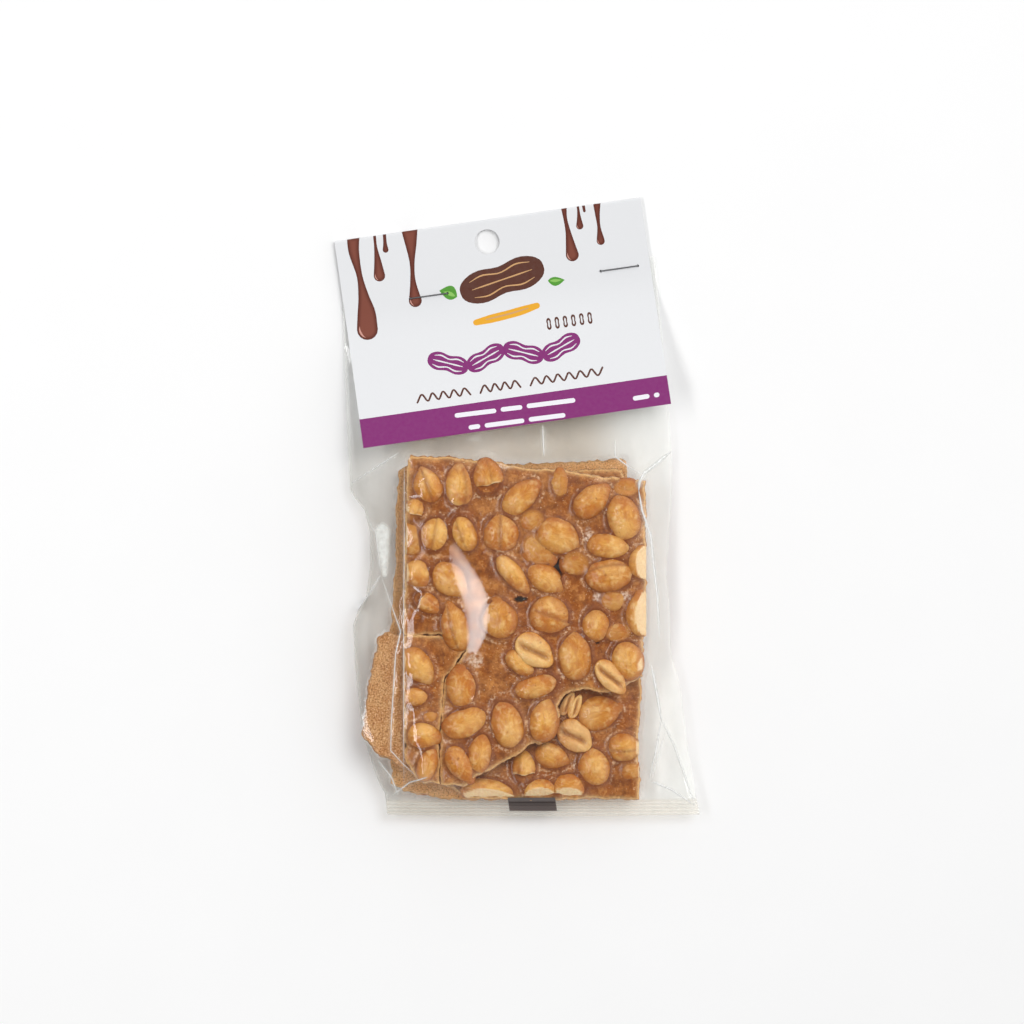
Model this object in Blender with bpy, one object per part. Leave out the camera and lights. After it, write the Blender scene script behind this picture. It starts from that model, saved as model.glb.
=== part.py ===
"""Retail pack of peanut brittle, lying on its back.

A clear bag holds a stack of brittle slabs. A folded header card with a hang hole closes the bag's mouth, and
two wire staples go through card and film. Lengths are millimetres until they enter a mesh. +X is the pack's
right, +Y runs from the bottom seal to the header card, +Z is up, out of the pack's front. The origin is on
the flat back face that the pack rests on, under the middle of the slabs.
"""

import math

import bmesh
import bpy
import numpy as np
from mathutils import Vector

MM = 0.001

# Header card: two panels joined by a fold, turned a little against the bag, the front one lifted by it
CARD_WIDTH = 102.4
CARD_FRONT_PANEL = 70.6
CARD_BACK_PANEL = 67.8
CARD_THICK = 0.35
CARD_TURN = math.radians(8.2)
CARD_FOLD_MIDDLE = (-10.7, 135.2)
CARD_FLOAT = 0.60
CARD_BEND_START = 24.0
CARD_BEND_LENGTH = 10.0
CARD_BEND_POINTS = 6
CARD_LIFT = math.radians(18.0)
FOLD_POINTS = 7
HANG_HOLE_RADIUS = 4.1
HANG_HOLE_ACROSS = -1.1
HANG_HOLE_DOWN = 6.7
HANG_HOLE_SIDES = 40

# Film: FILM_THICK is both sheets together where they lie pressed flat
FILM_THICK = 0.30
FILM_GAP = 0.15
FILM_PRESSED_DOWN = 24.5
FILM_EDGE_CLEAR = 3.6

# Staples: round wire with both ends bent inwards behind the card
STAPLE_CROWN = 12.4
STAPLE_WIRE_RADIUS = 0.25
STAPLE_DOWN = 21.7
STAPLE_ACROSS = {"staple_left": -22.8, "staple_right": 40.9}
STAPLE_CLINCH = 4.2
STAPLE_CORNER = 0.55
STAPLE_CORNER_POINTS = 5
STAPLE_ABOVE_CARD = 0.05
STAPLE_ABOVE_REST = 0.02
LEG_HOLE_RADIUS = 0.45
LEG_HOLE_SIDES = 8
CUTTER_DEPTH = 20.0

# Levels of the stack of slabs: a plate with nuts standing out of it, three times over
STACK_BOTTOM = 0.3
SLAB_PLATE = 4.4
NUT_RISE = 2.2
SLAB_GAP = 0.1

# Bag outline as (y, x), from the bottom seal up to the mouth
LEFT_EDGE = [
    (-61.0, -43.8), (-54.0, -44.6), (-44.0, -49.0), (-34.0, -52.1), (-11.2, -54.5), (1.6, -55.1),
    (10.9, -50.8), (21.8, -49.5), (32.0, -49.6), (39.7, -51.4), (46.2, -56.1), (62.7, -57.0), (108.5, -58.8),
]
RIGHT_EDGE = [
    (-61.0, 59.4), (-52.1, 57.6), (-39.9, 55.5), (-19.4, 53.1), (-7.1, 49.8), (9.3, 49.4), (20.0, 48.2),
    (27.4, 49.0), (46.2, 50.2), (60.5, 50.0), (72.6, 49.2), (123.7, 44.6),
]
SEAL_LENGTH = 4.0

# Level of the bag's two side seams as (y, z)
SEAM_LEFT = [
    (-61.0, 6.6), (-40.0, 8.0), (-20.0, 9.6), (5.0, 8.6),
    (30.0, 5.5), (60.0, 4.0), (92.0, 1.4), (108.5, 1.25),
]
SEAM_RIGHT = [(-61.0, 6.6), (-40.0, 5.2), (0.0, 4.0), (40.0, 4.2), (75.0, 3.4), (108.0, 1.4), (123.7, 1.25)]

# Slab outlines seen from the front, anticlockwise from the lower left
SLAB_TOP = [
    (-38.3, -43.5), (-34.0, -49.8), (-17.0, -51.0), (-8.0, -44.9), (4.2, -36.6), (9.6, -36.6), (13.2, -28.0),
    (14.0, -23.2), (25.7, -19.8), (40.6, -15.8), (40.8, 23.1), (41.2, 49.2), (16.5, 51.8), (-8.2, 54.8),
    (-36.6, 57.1), (-38.0, 23.1),
]
SLAB_MIDDLE = [(-30.4, -51.1), (-17.8, -55.8), (39.9, -55.4), (36.6, -18.2), (33.7, 52.8), (-29.0, 49.5)]
SLAB_BACK = [
    (-42.4, -52.8), (-40.6, -54.1), (-17.8, -55.8), (37.0, -55.2), (35.3, 56.1), (18.8, 55.8), (-12.9, 55.0),
    (-40.4, 52.1),
]
SHARD_LEFT = [
    (-51.5, -34.7), (-42.4, -43.1), (-34.3, -48.5), (-31.5, -2.0), (-46.2, -2.3), (-47.5, -9.9),
]

# Relief of the nuts on the slabs that lie nut side up
NUT_SPACING = 12.5
NUT_ROW_SPACING = 10.9
NUT_HALF_LENGTH = 6.6
NUT_HALF_WIDTH = 4.6
NUT_JITTER = 2.0
NUT_SEED = 7

# Grid of the bag's two sheets, closer together towards the side seams
ROWS = 62
COLUMNS = 38
EDGE_CROWDING = 0.35
DRAPE_STEPS = 700
OUT_OF_THE_WAY = 1000.0


def card_axes():
    """Unit vectors across the card, and down it from its fold."""
    across = Vector((math.cos(CARD_TURN), math.sin(CARD_TURN)))
    down = Vector((math.sin(CARD_TURN), -math.cos(CARD_TURN)))
    return across, down


def card_point(across_mm, down_mm, level):
    """A point given in the card's frame, in metres."""
    across, down = card_axes()
    place = Vector(CARD_FOLD_MIDDLE) + across * across_mm + down * down_mm
    return Vector((place.x, place.y, level)) * MM


def panel_gap():
    """Clear height between the two panels where they lie flat."""
    return FILM_THICK + 2 * FILM_GAP


def panel_rise(down):
    """How far the front panel has lifted, at a distance down from the fold."""
    bent = np.clip(np.asarray(down, float) - CARD_BEND_START, 0.0, None)
    curved = np.minimum(bent, CARD_BEND_LENGTH) ** 2 / (2 * CARD_BEND_LENGTH)
    return math.tan(CARD_LIFT) * (curved + np.clip(bent - CARD_BEND_LENGTH, 0.0, None))


def front_panel_under(down):
    """Level of the front panel's lower side."""
    return CARD_FLOAT + CARD_THICK + panel_gap() + panel_rise(down)


def front_panel_reach():
    """How far the front panel reaches in plan, from its length along the sheet."""
    steps = np.linspace(0.0, CARD_FRONT_PANEL, 400)
    walked = np.cumsum(np.hypot(np.diff(steps), np.diff(panel_rise(steps))))
    return float(np.interp(CARD_FRONT_PANEL, walked, steps[1:]))


def material(name, colour, roughness, metallic=0.0):
    made = bpy.data.materials.new(name)
    made.use_nodes = True
    shader = made.node_tree.nodes["Principled BSDF"]
    shader.inputs["Base Color"].default_value = (*colour, 1.0)
    shader.inputs["Roughness"].default_value = roughness
    shader.inputs["Metallic"].default_value = metallic
    return made


def mesh_of(bm, name):
    bmesh.ops.recalc_face_normals(bm, faces=bm.faces)
    mesh = bpy.data.meshes.new(name)
    bm.to_mesh(mesh)
    bm.free()
    return mesh


def add_object(name, data, surface):
    data.materials.append(surface)
    item = bpy.data.objects.new(name, data)
    bpy.context.scene.collection.objects.link(item)
    return item


def add_cutter(name, centre, radius, sides):
    """A hidden upright prism that a Boolean takes away."""
    bm = bmesh.new()
    size = {"radius1": radius * MM, "radius2": radius * MM, "depth": CUTTER_DEPTH * MM}
    bmesh.ops.create_cone(bm, cap_ends=True, segments=sides, **size)
    cutter = bpy.data.objects.new(name, mesh_of(bm, name))
    cutter.location = centre
    cutter.hide_render = True
    cutter.display_type = "WIRE"
    bpy.context.scene.collection.objects.link(cutter)
    return cutter


def cut(item, cutter):
    boolean = item.modifiers.new("cut_" + cutter.name, "BOOLEAN")
    boolean.operation = "DIFFERENCE"
    boolean.solver = "EXACT"
    boolean.object = cutter


def fold_arc(radius):
    """Points round the outside of the fold, from the front panel to the back one."""
    middle = CARD_FLOAT + CARD_THICK + panel_gap() / 2
    turns = np.linspace(math.pi / 2, -math.pi / 2, FOLD_POINTS + 2)[1:-1]
    return [(-radius * math.cos(turn), middle + radius * math.sin(turn)) for turn in turns]


def card_profile():
    """Closed section of the folded card as (down, level) pairs."""
    bend = np.linspace(CARD_BEND_START, CARD_BEND_START + CARD_BEND_LENGTH, CARD_BEND_POINTS)
    stations = [0.0, *bend, front_panel_reach()]
    front_under = [(down, float(front_panel_under(down))) for down in stations]
    front_over = [(down, level + CARD_THICK) for down, level in front_under]
    back_over = CARD_FLOAT + CARD_THICK
    outside = front_over[::-1] + fold_arc(panel_gap() / 2 + CARD_THICK)
    back = [(0.0, CARD_FLOAT), (CARD_BACK_PANEL, CARD_FLOAT), (CARD_BACK_PANEL, back_over), (0.0, back_over)]
    inside = fold_arc(panel_gap() / 2)[::-1]
    return outside + back + inside + front_under


def build_card(board):
    """The header card: its section is pushed across the pack's width."""
    bm = bmesh.new()
    ring = [bm.verts.new(card_point(-CARD_WIDTH / 2, down, level)) for down, level in card_profile()]
    pushed = bmesh.ops.extrude_face_region(bm, geom=[bm.faces.new(ring)])
    moved = [item for item in pushed["geom"] if isinstance(item, bmesh.types.BMVert)]
    across, _ = card_axes()
    bmesh.ops.translate(bm, verts=moved, vec=Vector((across.x, across.y, 0.0)) * CARD_WIDTH * MM)
    return add_object("header_card", mesh_of(bm, "header_card"), board)


def staple_path(across):
    """Middle line of one staple: clinched end, leg, crown, leg, clinched end."""
    half = STAPLE_CROWN / 2
    top = float(front_panel_under(STAPLE_DOWN)) + CARD_THICK + STAPLE_ABOVE_CARD + STAPLE_WIRE_RADIUS
    low = STAPLE_WIRE_RADIUS + STAPLE_ABOVE_REST
    turns = np.linspace(0.0, math.pi / 2, STAPLE_CORNER_POINTS)
    long_way = STAPLE_CORNER * (1 - np.sin(turns))
    short_way = STAPLE_CORNER * (1 - np.cos(turns))
    upper = list(zip(half - long_way, top - short_way))
    lower = list(zip(half - short_way, low + long_way))
    side = [*upper, *lower, (half - STAPLE_CLINCH, low)]
    other_side = [(-x, level) for x, level in side[::-1]]
    return [card_point(across + x, STAPLE_DOWN, level) for x, level in other_side + side]


def build_staple(name, across, steel):
    curve = bpy.data.curves.new(name, "CURVE")
    curve.dimensions = "3D"
    curve.bevel_depth = STAPLE_WIRE_RADIUS * MM
    curve.bevel_resolution = 2
    curve.use_fill_caps = True
    path = staple_path(across)
    spline = curve.splines.new("POLY")
    spline.points.add(len(path) - 1)
    for point, place in zip(spline.points, path):
        point.co = (*place, 1.0)
    return add_object(name, curve, steel)


def depth_inside(x, y, outline):
    """Distance from each point to the outline, positive inside it."""
    nearest = np.full(x.shape, np.inf)
    inside = np.zeros(x.shape, bool)
    for (ax, ay), (bx, by) in zip(outline, outline[1:] + outline[:1]):
        side_x, side_y = bx - ax, by - ay
        share = ((x - ax) * side_x + (y - ay) * side_y) / (side_x**2 + side_y**2)
        share = np.clip(share, 0, 1)
        nearest = np.minimum(nearest, np.hypot(x - ax - share * side_x, y - ay - share * side_y))
        if side_y:
            crossing = ax + (y - ay) / side_y * side_x
            inside ^= ((ay > y) != (by > y)) & (x < crossing)
    return np.where(inside, nearest, -nearest)


def nut_places(outline):
    """Middle and turn of each nut: a seeded, jittered grid that stays inside the outline."""
    chance = np.random.default_rng(NUT_SEED)
    xs, ys = zip(*outline)
    for row, y in enumerate(np.arange(min(ys), max(ys), NUT_ROW_SPACING)):
        shift = NUT_SPACING / 2 * (row % 2)
        for x in np.arange(min(xs) + shift, max(xs), NUT_SPACING):
            place = np.array([x, y]) + chance.uniform(-NUT_JITTER, NUT_JITTER, 2)
            turn = chance.uniform(0, math.pi)
            if depth_inside(place[:1], place[1:], outline)[0] > NUT_HALF_WIDTH:
                yield place[0], place[1], turn


def nut_relief(x, y, outline):
    """How far the nuts stand out of a slab's plate."""
    relief = np.zeros(x.shape)
    for middle_x, middle_y, turn in nut_places(outline):
        along = (x - middle_x) * math.cos(turn) + (y - middle_y) * math.sin(turn)
        aside = (y - middle_y) * math.cos(turn) - (x - middle_x) * math.sin(turn)
        left = 1 - (along / NUT_HALF_LENGTH) ** 2 - (aside / NUT_HALF_WIDTH) ** 2
        relief = np.maximum(relief, NUT_RISE * np.sqrt(np.clip(left, 0, None)))
    return relief


def layer_bottom(layer):
    return STACK_BOTTOM + layer * (SLAB_PLATE + NUT_RISE + SLAB_GAP)


def contents_top(x, y):
    """Level of the top of the stack of slabs, and 0 beside it."""
    level = np.zeros(x.shape)
    for outline, layer, nut_side_up in (
        (SLAB_BACK, 0, False),
        (SHARD_LEFT, 1, False),
        (SLAB_MIDDLE, 1, True),
        (SLAB_TOP, 2, True),
    ):
        above_plate = nut_relief(x, y, outline) if nut_side_up else NUT_RISE
        top = layer_bottom(layer) + SLAB_PLATE + above_plate
        level = np.where(depth_inside(x, y, outline) > 0, np.maximum(level, top), level)
    return level


def contents_under(x, y):
    """Level of the underside of the stack, and out of the way beside it."""
    level = np.where(depth_inside(x, y, SHARD_LEFT) > 0, layer_bottom(1), OUT_OF_THE_WAY)
    return np.where(depth_inside(x, y, SLAB_BACK) > 0, 0.0, level)


def drape(start, fixed, lowest, highest):
    """Relaxes a stretched sheet between an obstacle under it and one over it."""
    level = start.copy()
    for _ in range(DRAPE_STEPS):
        mean = level.copy()
        mean[1:-1, 1:-1] = (level[:-2, 1:-1] + level[2:, 1:-1] + level[1:-1, :-2] + level[1:-1, 2:]) / 4
        level = np.where(fixed, start, np.minimum(np.maximum(mean, lowest), highest))
    return level


def bag_plan():
    """Plan of the bag's grid: x and y of each point, its distance down the card, and the seams' level."""
    up = np.linspace(0, 1, ROWS + 1)[:, None]
    left_y = LEFT_EDGE[0][0] + up * (LEFT_EDGE[-1][0] - LEFT_EDGE[0][0])
    right_y = RIGHT_EDGE[0][0] + up * (RIGHT_EDGE[-1][0] - RIGHT_EDGE[0][0])
    left_x = np.interp(left_y, *zip(*LEFT_EDGE))
    right_x = np.interp(right_y, *zip(*RIGHT_EDGE))
    even = np.linspace(0, 1, COLUMNS + 1)[None, :]
    crowded = (1 - np.cos(math.pi * even)) / 2
    over = EDGE_CROWDING * crowded + (1 - EDGE_CROWDING) * even
    x = left_x + over * (right_x - left_x)
    y = left_y + over * (right_y - left_y)
    _, down = card_axes()
    down_card = (x - CARD_FOLD_MIDDLE[0]) * down.x + (y - CARD_FOLD_MIDDLE[1]) * down.y
    seam = np.interp(left_y, *zip(*SEAM_LEFT)) * (1 - over) + np.interp(right_y, *zip(*SEAM_RIGHT)) * over
    return x, y, down_card, seam


def bag_sheets():
    """The bag's upper and lower sheet, each as grids of x, y and level."""
    x, y, down, seam = bag_plan()
    fixed = np.zeros(x.shape, bool)
    fixed[[0, -1], :] = True
    fixed[:, [0, -1]] = True
    seal = y < LEFT_EDGE[0][0] + SEAL_LENGTH
    pressed = down < FILM_PRESSED_DOWN
    fixed |= seal | pressed
    back_panel_over = CARD_FLOAT + CARD_THICK + FILM_GAP
    middle = np.where(seal, SEAM_LEFT[0][1], np.where(pressed, back_panel_over + FILM_THICK / 2, seam))
    under_front = down < front_panel_reach() + FILM_EDGE_CLEAR
    ceiling = np.where(under_front, front_panel_under(down) - FILM_GAP, OUT_OF_THE_WAY)
    over_back = down < CARD_BACK_PANEL + FILM_EDGE_CLEAR
    floor = np.where(over_back, back_panel_over, 0.0)
    upper = drape(middle + FILM_THICK / 2, fixed, contents_top(x, y) + FILM_GAP, ceiling)
    lower = drape(middle - FILM_THICK / 2, fixed, floor, np.maximum(contents_under(x, y), floor))
    return (x, y, np.maximum(upper, lower + FILM_THICK)), (x, y, lower)


def sheet_rim(sheet):
    """The outermost vertices of a grid, in order round it."""
    right_side = [row[-1] for row in sheet[1:-1]]
    left_side = [row[0] for row in sheet[-2:0:-1]]
    return sheet[0] + right_side + sheet[-1][::-1] + left_side


def build_bag(film):
    """The filled bag as one solid between its upper and lower sheet."""
    bm = bmesh.new()
    rims = []
    for grid in bag_sheets():
        points = np.stack(grid, axis=-1) * MM
        sheet = [[bm.verts.new(point) for point in row] for row in points]
        for near, far in zip(sheet, sheet[1:]):
            for corners in zip(near, near[1:], far[1:], far):
                bm.faces.new(corners)
        rims.append(sheet_rim(sheet))
    upper, lower = rims
    for corners in zip(upper, upper[1:] + upper[:1], lower[1:] + lower[:1], lower):
        bm.faces.new(corners)
    return add_object("bag", mesh_of(bm, "bag"), film)


def main():
    for item in list(bpy.data.objects):
        bpy.data.objects.remove(item)
    bag = build_bag(material("filled_film", (0.40, 0.20, 0.08), 0.15))
    card = build_card(material("board", (0.84, 0.85, 0.86), 0.45))
    steel = material("steel", (0.55, 0.55, 0.56), 0.35, metallic=1.0)
    hang_hole = card_point(HANG_HOLE_ACROSS, HANG_HOLE_DOWN, 0.0)
    cut(card, add_cutter("hang_hole", hang_hole, HANG_HOLE_RADIUS, HANG_HOLE_SIDES))
    for name, across in STAPLE_ACROSS.items():
        build_staple(name, across, steel)
        for leg, side in (("left", -1), ("right", 1)):
            place = card_point(across + side * STAPLE_CROWN / 2, STAPLE_DOWN, 0.0)
            leg_hole = add_cutter(f"{name}_{leg}_leg_hole", place, LEG_HOLE_RADIUS, LEG_HOLE_SIDES)
            cut(card, leg_hole)
            cut(bag, leg_hole)


main()
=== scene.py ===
"""Looks of a retail pack of peanut brittle: film, slabs, nuts, printed header card, light and camera.

Lengths are millimetres until they enter a mesh. Places read off the photograph are pixels of its 1024 x 1024
frame, turned into millimetres by from_photo.
"""

import math

import bpy
import numpy as np
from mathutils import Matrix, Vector
from mathutils.bvhtree import BVHTree
from mathutils.geometry import delaunay_2d_cdt


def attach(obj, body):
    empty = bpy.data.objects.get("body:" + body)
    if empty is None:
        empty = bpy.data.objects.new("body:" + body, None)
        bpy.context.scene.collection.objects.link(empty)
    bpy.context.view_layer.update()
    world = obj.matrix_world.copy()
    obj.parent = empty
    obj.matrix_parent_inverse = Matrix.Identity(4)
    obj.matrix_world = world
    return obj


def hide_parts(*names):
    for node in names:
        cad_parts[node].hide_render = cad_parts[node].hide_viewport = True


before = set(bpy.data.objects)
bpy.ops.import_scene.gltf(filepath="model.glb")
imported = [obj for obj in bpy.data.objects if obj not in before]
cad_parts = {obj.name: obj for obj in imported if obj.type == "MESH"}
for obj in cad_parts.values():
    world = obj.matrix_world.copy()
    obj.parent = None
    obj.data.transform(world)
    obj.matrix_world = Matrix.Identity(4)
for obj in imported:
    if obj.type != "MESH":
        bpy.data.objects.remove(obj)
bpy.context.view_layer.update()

MM = 0.001

# The photograph's frame: one pixel's size at the pack, and the pixel of the row frame's origin
PIXEL = 0.33
ORIGIN_PIXEL = (520, 630)
MIDDLE_PIXEL = 512
FRAME_PIXELS = 1024

# Header card, as the solid has it
CARD_WIDTH = 102.4
CARD_FRONT_PANEL = 70.6
CARD_BACK_PANEL = 67.8
CARD_THICK = 0.35
CARD_TURN = math.radians(8.2)
CARD_FOLD_MIDDLE = (-10.7, 135.2)
CARD_FLOAT = 0.60
CARD_BEND_START = 24.0
CARD_BEND_LENGTH = 10.0
CARD_LIFT = math.radians(18.0)
PANEL_GAP = 0.60
FOLD_RADIUS = PANEL_GAP / 2 + CARD_THICK / 2
HANG_HOLE_RADIUS = 4.1
HANG_HOLE_PLACE = (-1.1, 6.7)
STAPLE_DOWN = 21.7
STAPLE_ACROSS = (-22.8, 40.9)
STAPLE_CROWN = 12.4
LEG_HOLE_RADIUS = 0.45
BAND_HEIGHT = 9.6
TITLE_PODS = 4
TITLE_ENDS = ((448, 363), (561, 347))
SMALL_PODS = 6
SMALL_PODS_START = (549, 323.5)
SMALL_PODS_PITCH = (8.2, -1.2)
SUBLINE_WAVES = [
    ((417, 399), (470, 391), 11), ((480, 389.5), (520, 383.5), 9), ((530, 382), (603, 371), 14),
]
BAND_BARS = [
    ((457, 415.5), (494, 411)), ((503, 409.5), (520, 407.5)), ((529, 406), (573, 400.5)),
    ((471, 427.5), (478, 426.5)), ((487, 425.5), (522, 421)), ((531, 419.5), (563, 415.5)),
    ((635, 398.5), (647, 396.5)), ((656, 395.2), (657, 395)),
]
CARD_SHARP = 40

# Emblem in pixels: its leaves as (colour, base, tip, width), its pod, its ribbon and the ribbon's shine
LEAVES = [
    ("green", (457, 296), (439, 290), 14), ("green", (548, 280), (565, 279), 9),
    ("light_green", (455, 295.5), (443, 291), 4), ("light_green", (550, 280), (562, 279), 3),
]
EMBLEM_POD = ((502, 279), -19, 88, 39)
RIBBON = [(476, 322), (492, 318), (508, 314), (522, 310), (537, 305)]
RIBBON_SHINE = [(486, 319), (508, 313.6), (528, 307.6)]

# Steps of the card's mesh
CARD_MESH_STEP = 1.5
DRIP_MESH_STEP = 0.45

# Film bag, as the solid has it
FILM_THICK = 0.30
FILM_GAP = 0.15
OVER_BACK_PANEL = CARD_FLOAT + CARD_THICK + FILM_GAP
FILM_PRESSED_DOWN = 24.5
FILM_EDGE_CLEAR = 2.0
SEAL_TOP = -56.6
SEAL_LEVEL = 6.6
LEFT_EDGE = [
    (-61.0, -43.8), (-54.0, -44.6), (-50.5, -46.6), (-44.0, -49.0), (-34.0, -52.1), (-11.2, -54.5),
    (1.6, -55.1), (6.5, -53.4), (10.9, -50.8), (21.8, -49.5), (32.0, -49.6), (39.7, -51.4), (43.0, -54.2),
    (46.2, -56.1), (62.7, -57.0), (108.5, -58.8),
]
RIGHT_EDGE = [
    (-61.0, 59.4), (-52.1, 57.6), (-39.9, 55.5), (-19.4, 53.1), (-7.1, 49.8), (9.3, 49.4), (20.0, 48.2),
    (27.4, 49.0), (46.2, 50.2), (60.5, 50.0), (72.6, 49.2), (123.7, 44.6),
]
SEAM_LEFT = [
    (-61.0, 6.6), (-40.0, 8.0), (-20.0, 9.6), (5.0, 8.6), (30.0, 5.5), (60.0, 4.0), (92.0, 1.4),
    (108.5, 1.25),
]
SEAM_RIGHT = [
    (-61.0, 6.6), (-40.0, 5.2), (0.0, 4.0), (40.0, 4.2), (75.0, 3.4), (108.0, 1.4), (123.7, 1.25),
]
FILM_ROWS = 272
FILM_SEAL_ROWS = 24
FILM_COLUMNS = 168
FILM_CROWDING = 0.5
FILM_CLOSING = 8
FILM_OVER_FOOD = 0.10
FILM_UNDER_FOOD = 0.08
LEAST_FILM = 0.06
OPEN_AIR = 1000.0
CRIMP_DEPTH = 0.16
CRIMP_PITCH = 1.15
MARGIN_HAZE = 0.44
FILM_TINT = (0.976, 0.977, 0.972, 1.0)
# Darker tint: painted shade on the film, partly a denser fold at its left margin
FILM_GREY_TINT = (0.79, 0.785, 0.765, 1.0)
# Warm tint: the seal's, and a painted reflection of the brittle
FILM_WARM_TINT = (0.985, 0.963, 0.935, 1.0)
MOST_GLOSS = 0.10
FOLD_MILK = 0.6
FOLD_STEP = 0.8
FOLD_SUNK = 0.04
FOLD_RISE = 0.08

# Camera and light
CAMERA_HEIGHT = 2500.0
PACK_MIDDLE_LEVEL = 10.0
SENSOR_WIDTH = 36.0
FLOOR_HALF = 3.0
WORLD_OVERHEAD = 0.16
WORLD_HORIZON = 0.95
WORLD_TOWARDS = (0.34, 0.22, 0.0)
LIGHT_TARGET = (0.0, 0.04, 0.01)

# Lights as (name, place, size, energy, shown in reflections)
LIGHTS = [
    ("key", (0.50, 0.50, 1.35), (0.8, 0.8), 10.5, False),
    ("strip", (-0.52, 0.04, 0.95), (0.85, 0.14), 3.6, True),
]

# Stack of slabs: level of each layer's underside, and the plate's thickness between the nuts
LAYER_BOTTOM = (0.45, 7.1, 13.7)
PLATE = 3.4
NUT_SPACE = 3.2
SIDE_ROWS = 6
SLAB_SHARP = 50
BASE_COARSER = 2.2

# Caramel round a nut: how high and wide it climbs, and the ring of painted highlight round it, beaded like
# sugar
CLIMB = 0.95
CLIMB_WIDTH = 0.85
MOST_CLIMB = 1.5
GLINT_RING_AT = 1.25
GLINT_RING_WIDTH = 0.34
EDGE_DROP = 0.55
EDGE_WIDTH = 0.7
PIT_DEPTH = 2.2

# Slab outlines in pixels of the photograph
TOP_SLAB = [
    (407.6, 460.5), (411.5, 456.2), (430, 457.5), (452, 458), (469, 461), (489, 461), (509, 465),
    (529, 468.6), (554, 469.4), (579, 473.6), (603.7, 477), (625, 479.5), (638.5, 480), (644.7, 481),
    (645.5, 502), (644.5, 547), (645.2, 582), (643, 614), (643, 640), (642, 676), (632, 680.5), (611, 692),
    (600, 692.5), (588, 689.6), (571.6, 690.6), (563, 696), (557.5, 706), (559, 716), (557, 729),
    (547.7, 738), (540, 742.7), (535, 741.8), (512, 756.7), (491.8, 768), (477.6, 775), (471, 782),
    (463, 785), (441.6, 784), (440.6, 757), (440.3, 738), (442.5, 705), (446, 679.5), (466.5, 650.5),
    (452, 633.5), (404.5, 634.5), (404.6, 600), (405.8, 540),
]
CORNER_PIECE = [
    (404.2, 635.8), (430, 635.6), (451.2, 635.8), (465.0, 651), (445.0, 679), (441.4, 705), (439.4, 738),
    (439.7, 757), (440.2, 783.6), (430.6, 781), (417.5, 779.7), (413, 771), (404, 757), (404, 700),
]
MIDDLE_SLAB = [
    (430, 470), (622, 470), (641, 560), (641.5, 660), (640.5, 700), (637.5, 745), (639.5, 780),
    (638.5, 799.0), (600, 798.5), (560, 799.5), (520, 799), (494, 798.8), (466, 797.0), (447, 786),
    (432, 777), (428, 700),
]
BACK_SLAB = [
    (398.5, 472), (409, 465), (430, 462.5), (452, 461.5), (480, 461.8), (510, 463.5), (540, 464.5),
    (580, 462.3), (605, 460.4), (624.5, 460.2), (626.8, 465), (627, 480), (630, 640), (632, 797), (560, 799),
    (470, 799.5), (452.5, 799.5), (433.7, 797), (403, 791), (391.6, 783), (391.2, 760), (390, 700),
    (390.2, 640), (393.5, 589), (396.2, 552),
]
LEFT_SHARD = [
    (425, 632.5), (397.6, 632.7), (385, 633), (379.3, 639), (376, 653.5), (372, 673.6), (366.8, 700),
    (364, 731), (365.2, 738.5), (374.8, 751), (391, 760.6), (425, 776),
]

# Nuts as (px, py, length, width in pixels, turn of the long axis in degrees, kind)
TOP_NUTS = [
    (427, 486, 36, 29, 110, "line"), (459, 487, 42, 28, 90, "line"), (487, 478, 36, 32, 100, "broken"),
    (520, 498, 46, 28, 40, "whole"), (532, 520, 24, 21, 20, "low"), (434, 534, 38, 31, 80, "pale"),
    (463, 532, 40, 26, 110, "pale"), (501, 533, 39, 36, 90, "line"), (415, 509, 28, 20, 70, "broken"),
    (411, 539, 30, 16, 100, "low"), (558.5, 536, 45, 36, -25, "whole"), (538, 549, 34, 28, -45, "low"),
    (591, 501, 42, 29, 40, "whole"), (623, 516.5, 49, 33, 100, "whole"), (608.5, 546, 43, 26, -5, "whole"),
    (611, 574, 51, 34, 8, "line"), (575.5, 563, 27, 23, -20, "low"), (545, 578, 40, 27, -35, "whole"),
    (513, 574, 45, 20, -50, "whole"), (550, 616, 40, 38, -20, "line"), (596, 624, 35, 29, 90, "whole"),
    (419, 574.5, 32, 27, -60, "whole"), (450, 578, 42, 34, -45, "whole"), (427, 602, 32, 20, -35, "broken"),
    (455, 627, 48, 29, 105, "line"), (499, 619, 41, 36, 100, "whole"), (641.0, 563, 32, 27, 90, "whole"),
    (640.0, 614, 44, 30, 90, "whole"), (613, 600, 24, 18, 0, "low"), (575.5, 655, 49, 34, 90, "whole"),
    (626.5, 659, 42, 33, 105, "whole"), (610, 676, 38, 22, -50, "open"), (618, 632, 26, 17, 10, "low"),
    (534, 650, 40, 29, -40, "open"), (521, 664, 36, 21, -40, "whole"), (537, 686, 46, 24, 15, "whole"),
    (461.5, 687, 42, 31, 90, "whole"), (465, 722, 47, 31, 22, "whole"), (507, 722, 50, 33, 105, "whole"),
    (544, 720, 43, 30, 80, "whole"), (480, 752, 42, 25, 80, "whole"), (460, 763, 42, 25, -58, "whole"),
    (559.6, 484, 25, 15, 90, "low"), (626, 488, 26, 16, 0, "low"),
]
CORNER_NUTS = [
    (418, 665, 40, 29, -55, "whole"), (416, 696.5, 27, 20, 0, "whole"), (423.5, 735, 33, 28, -10, "whole"),
    (430, 716, 12, 10, 20, "low"), (428, 763, 36, 20, 72, "whole"),
]
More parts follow.
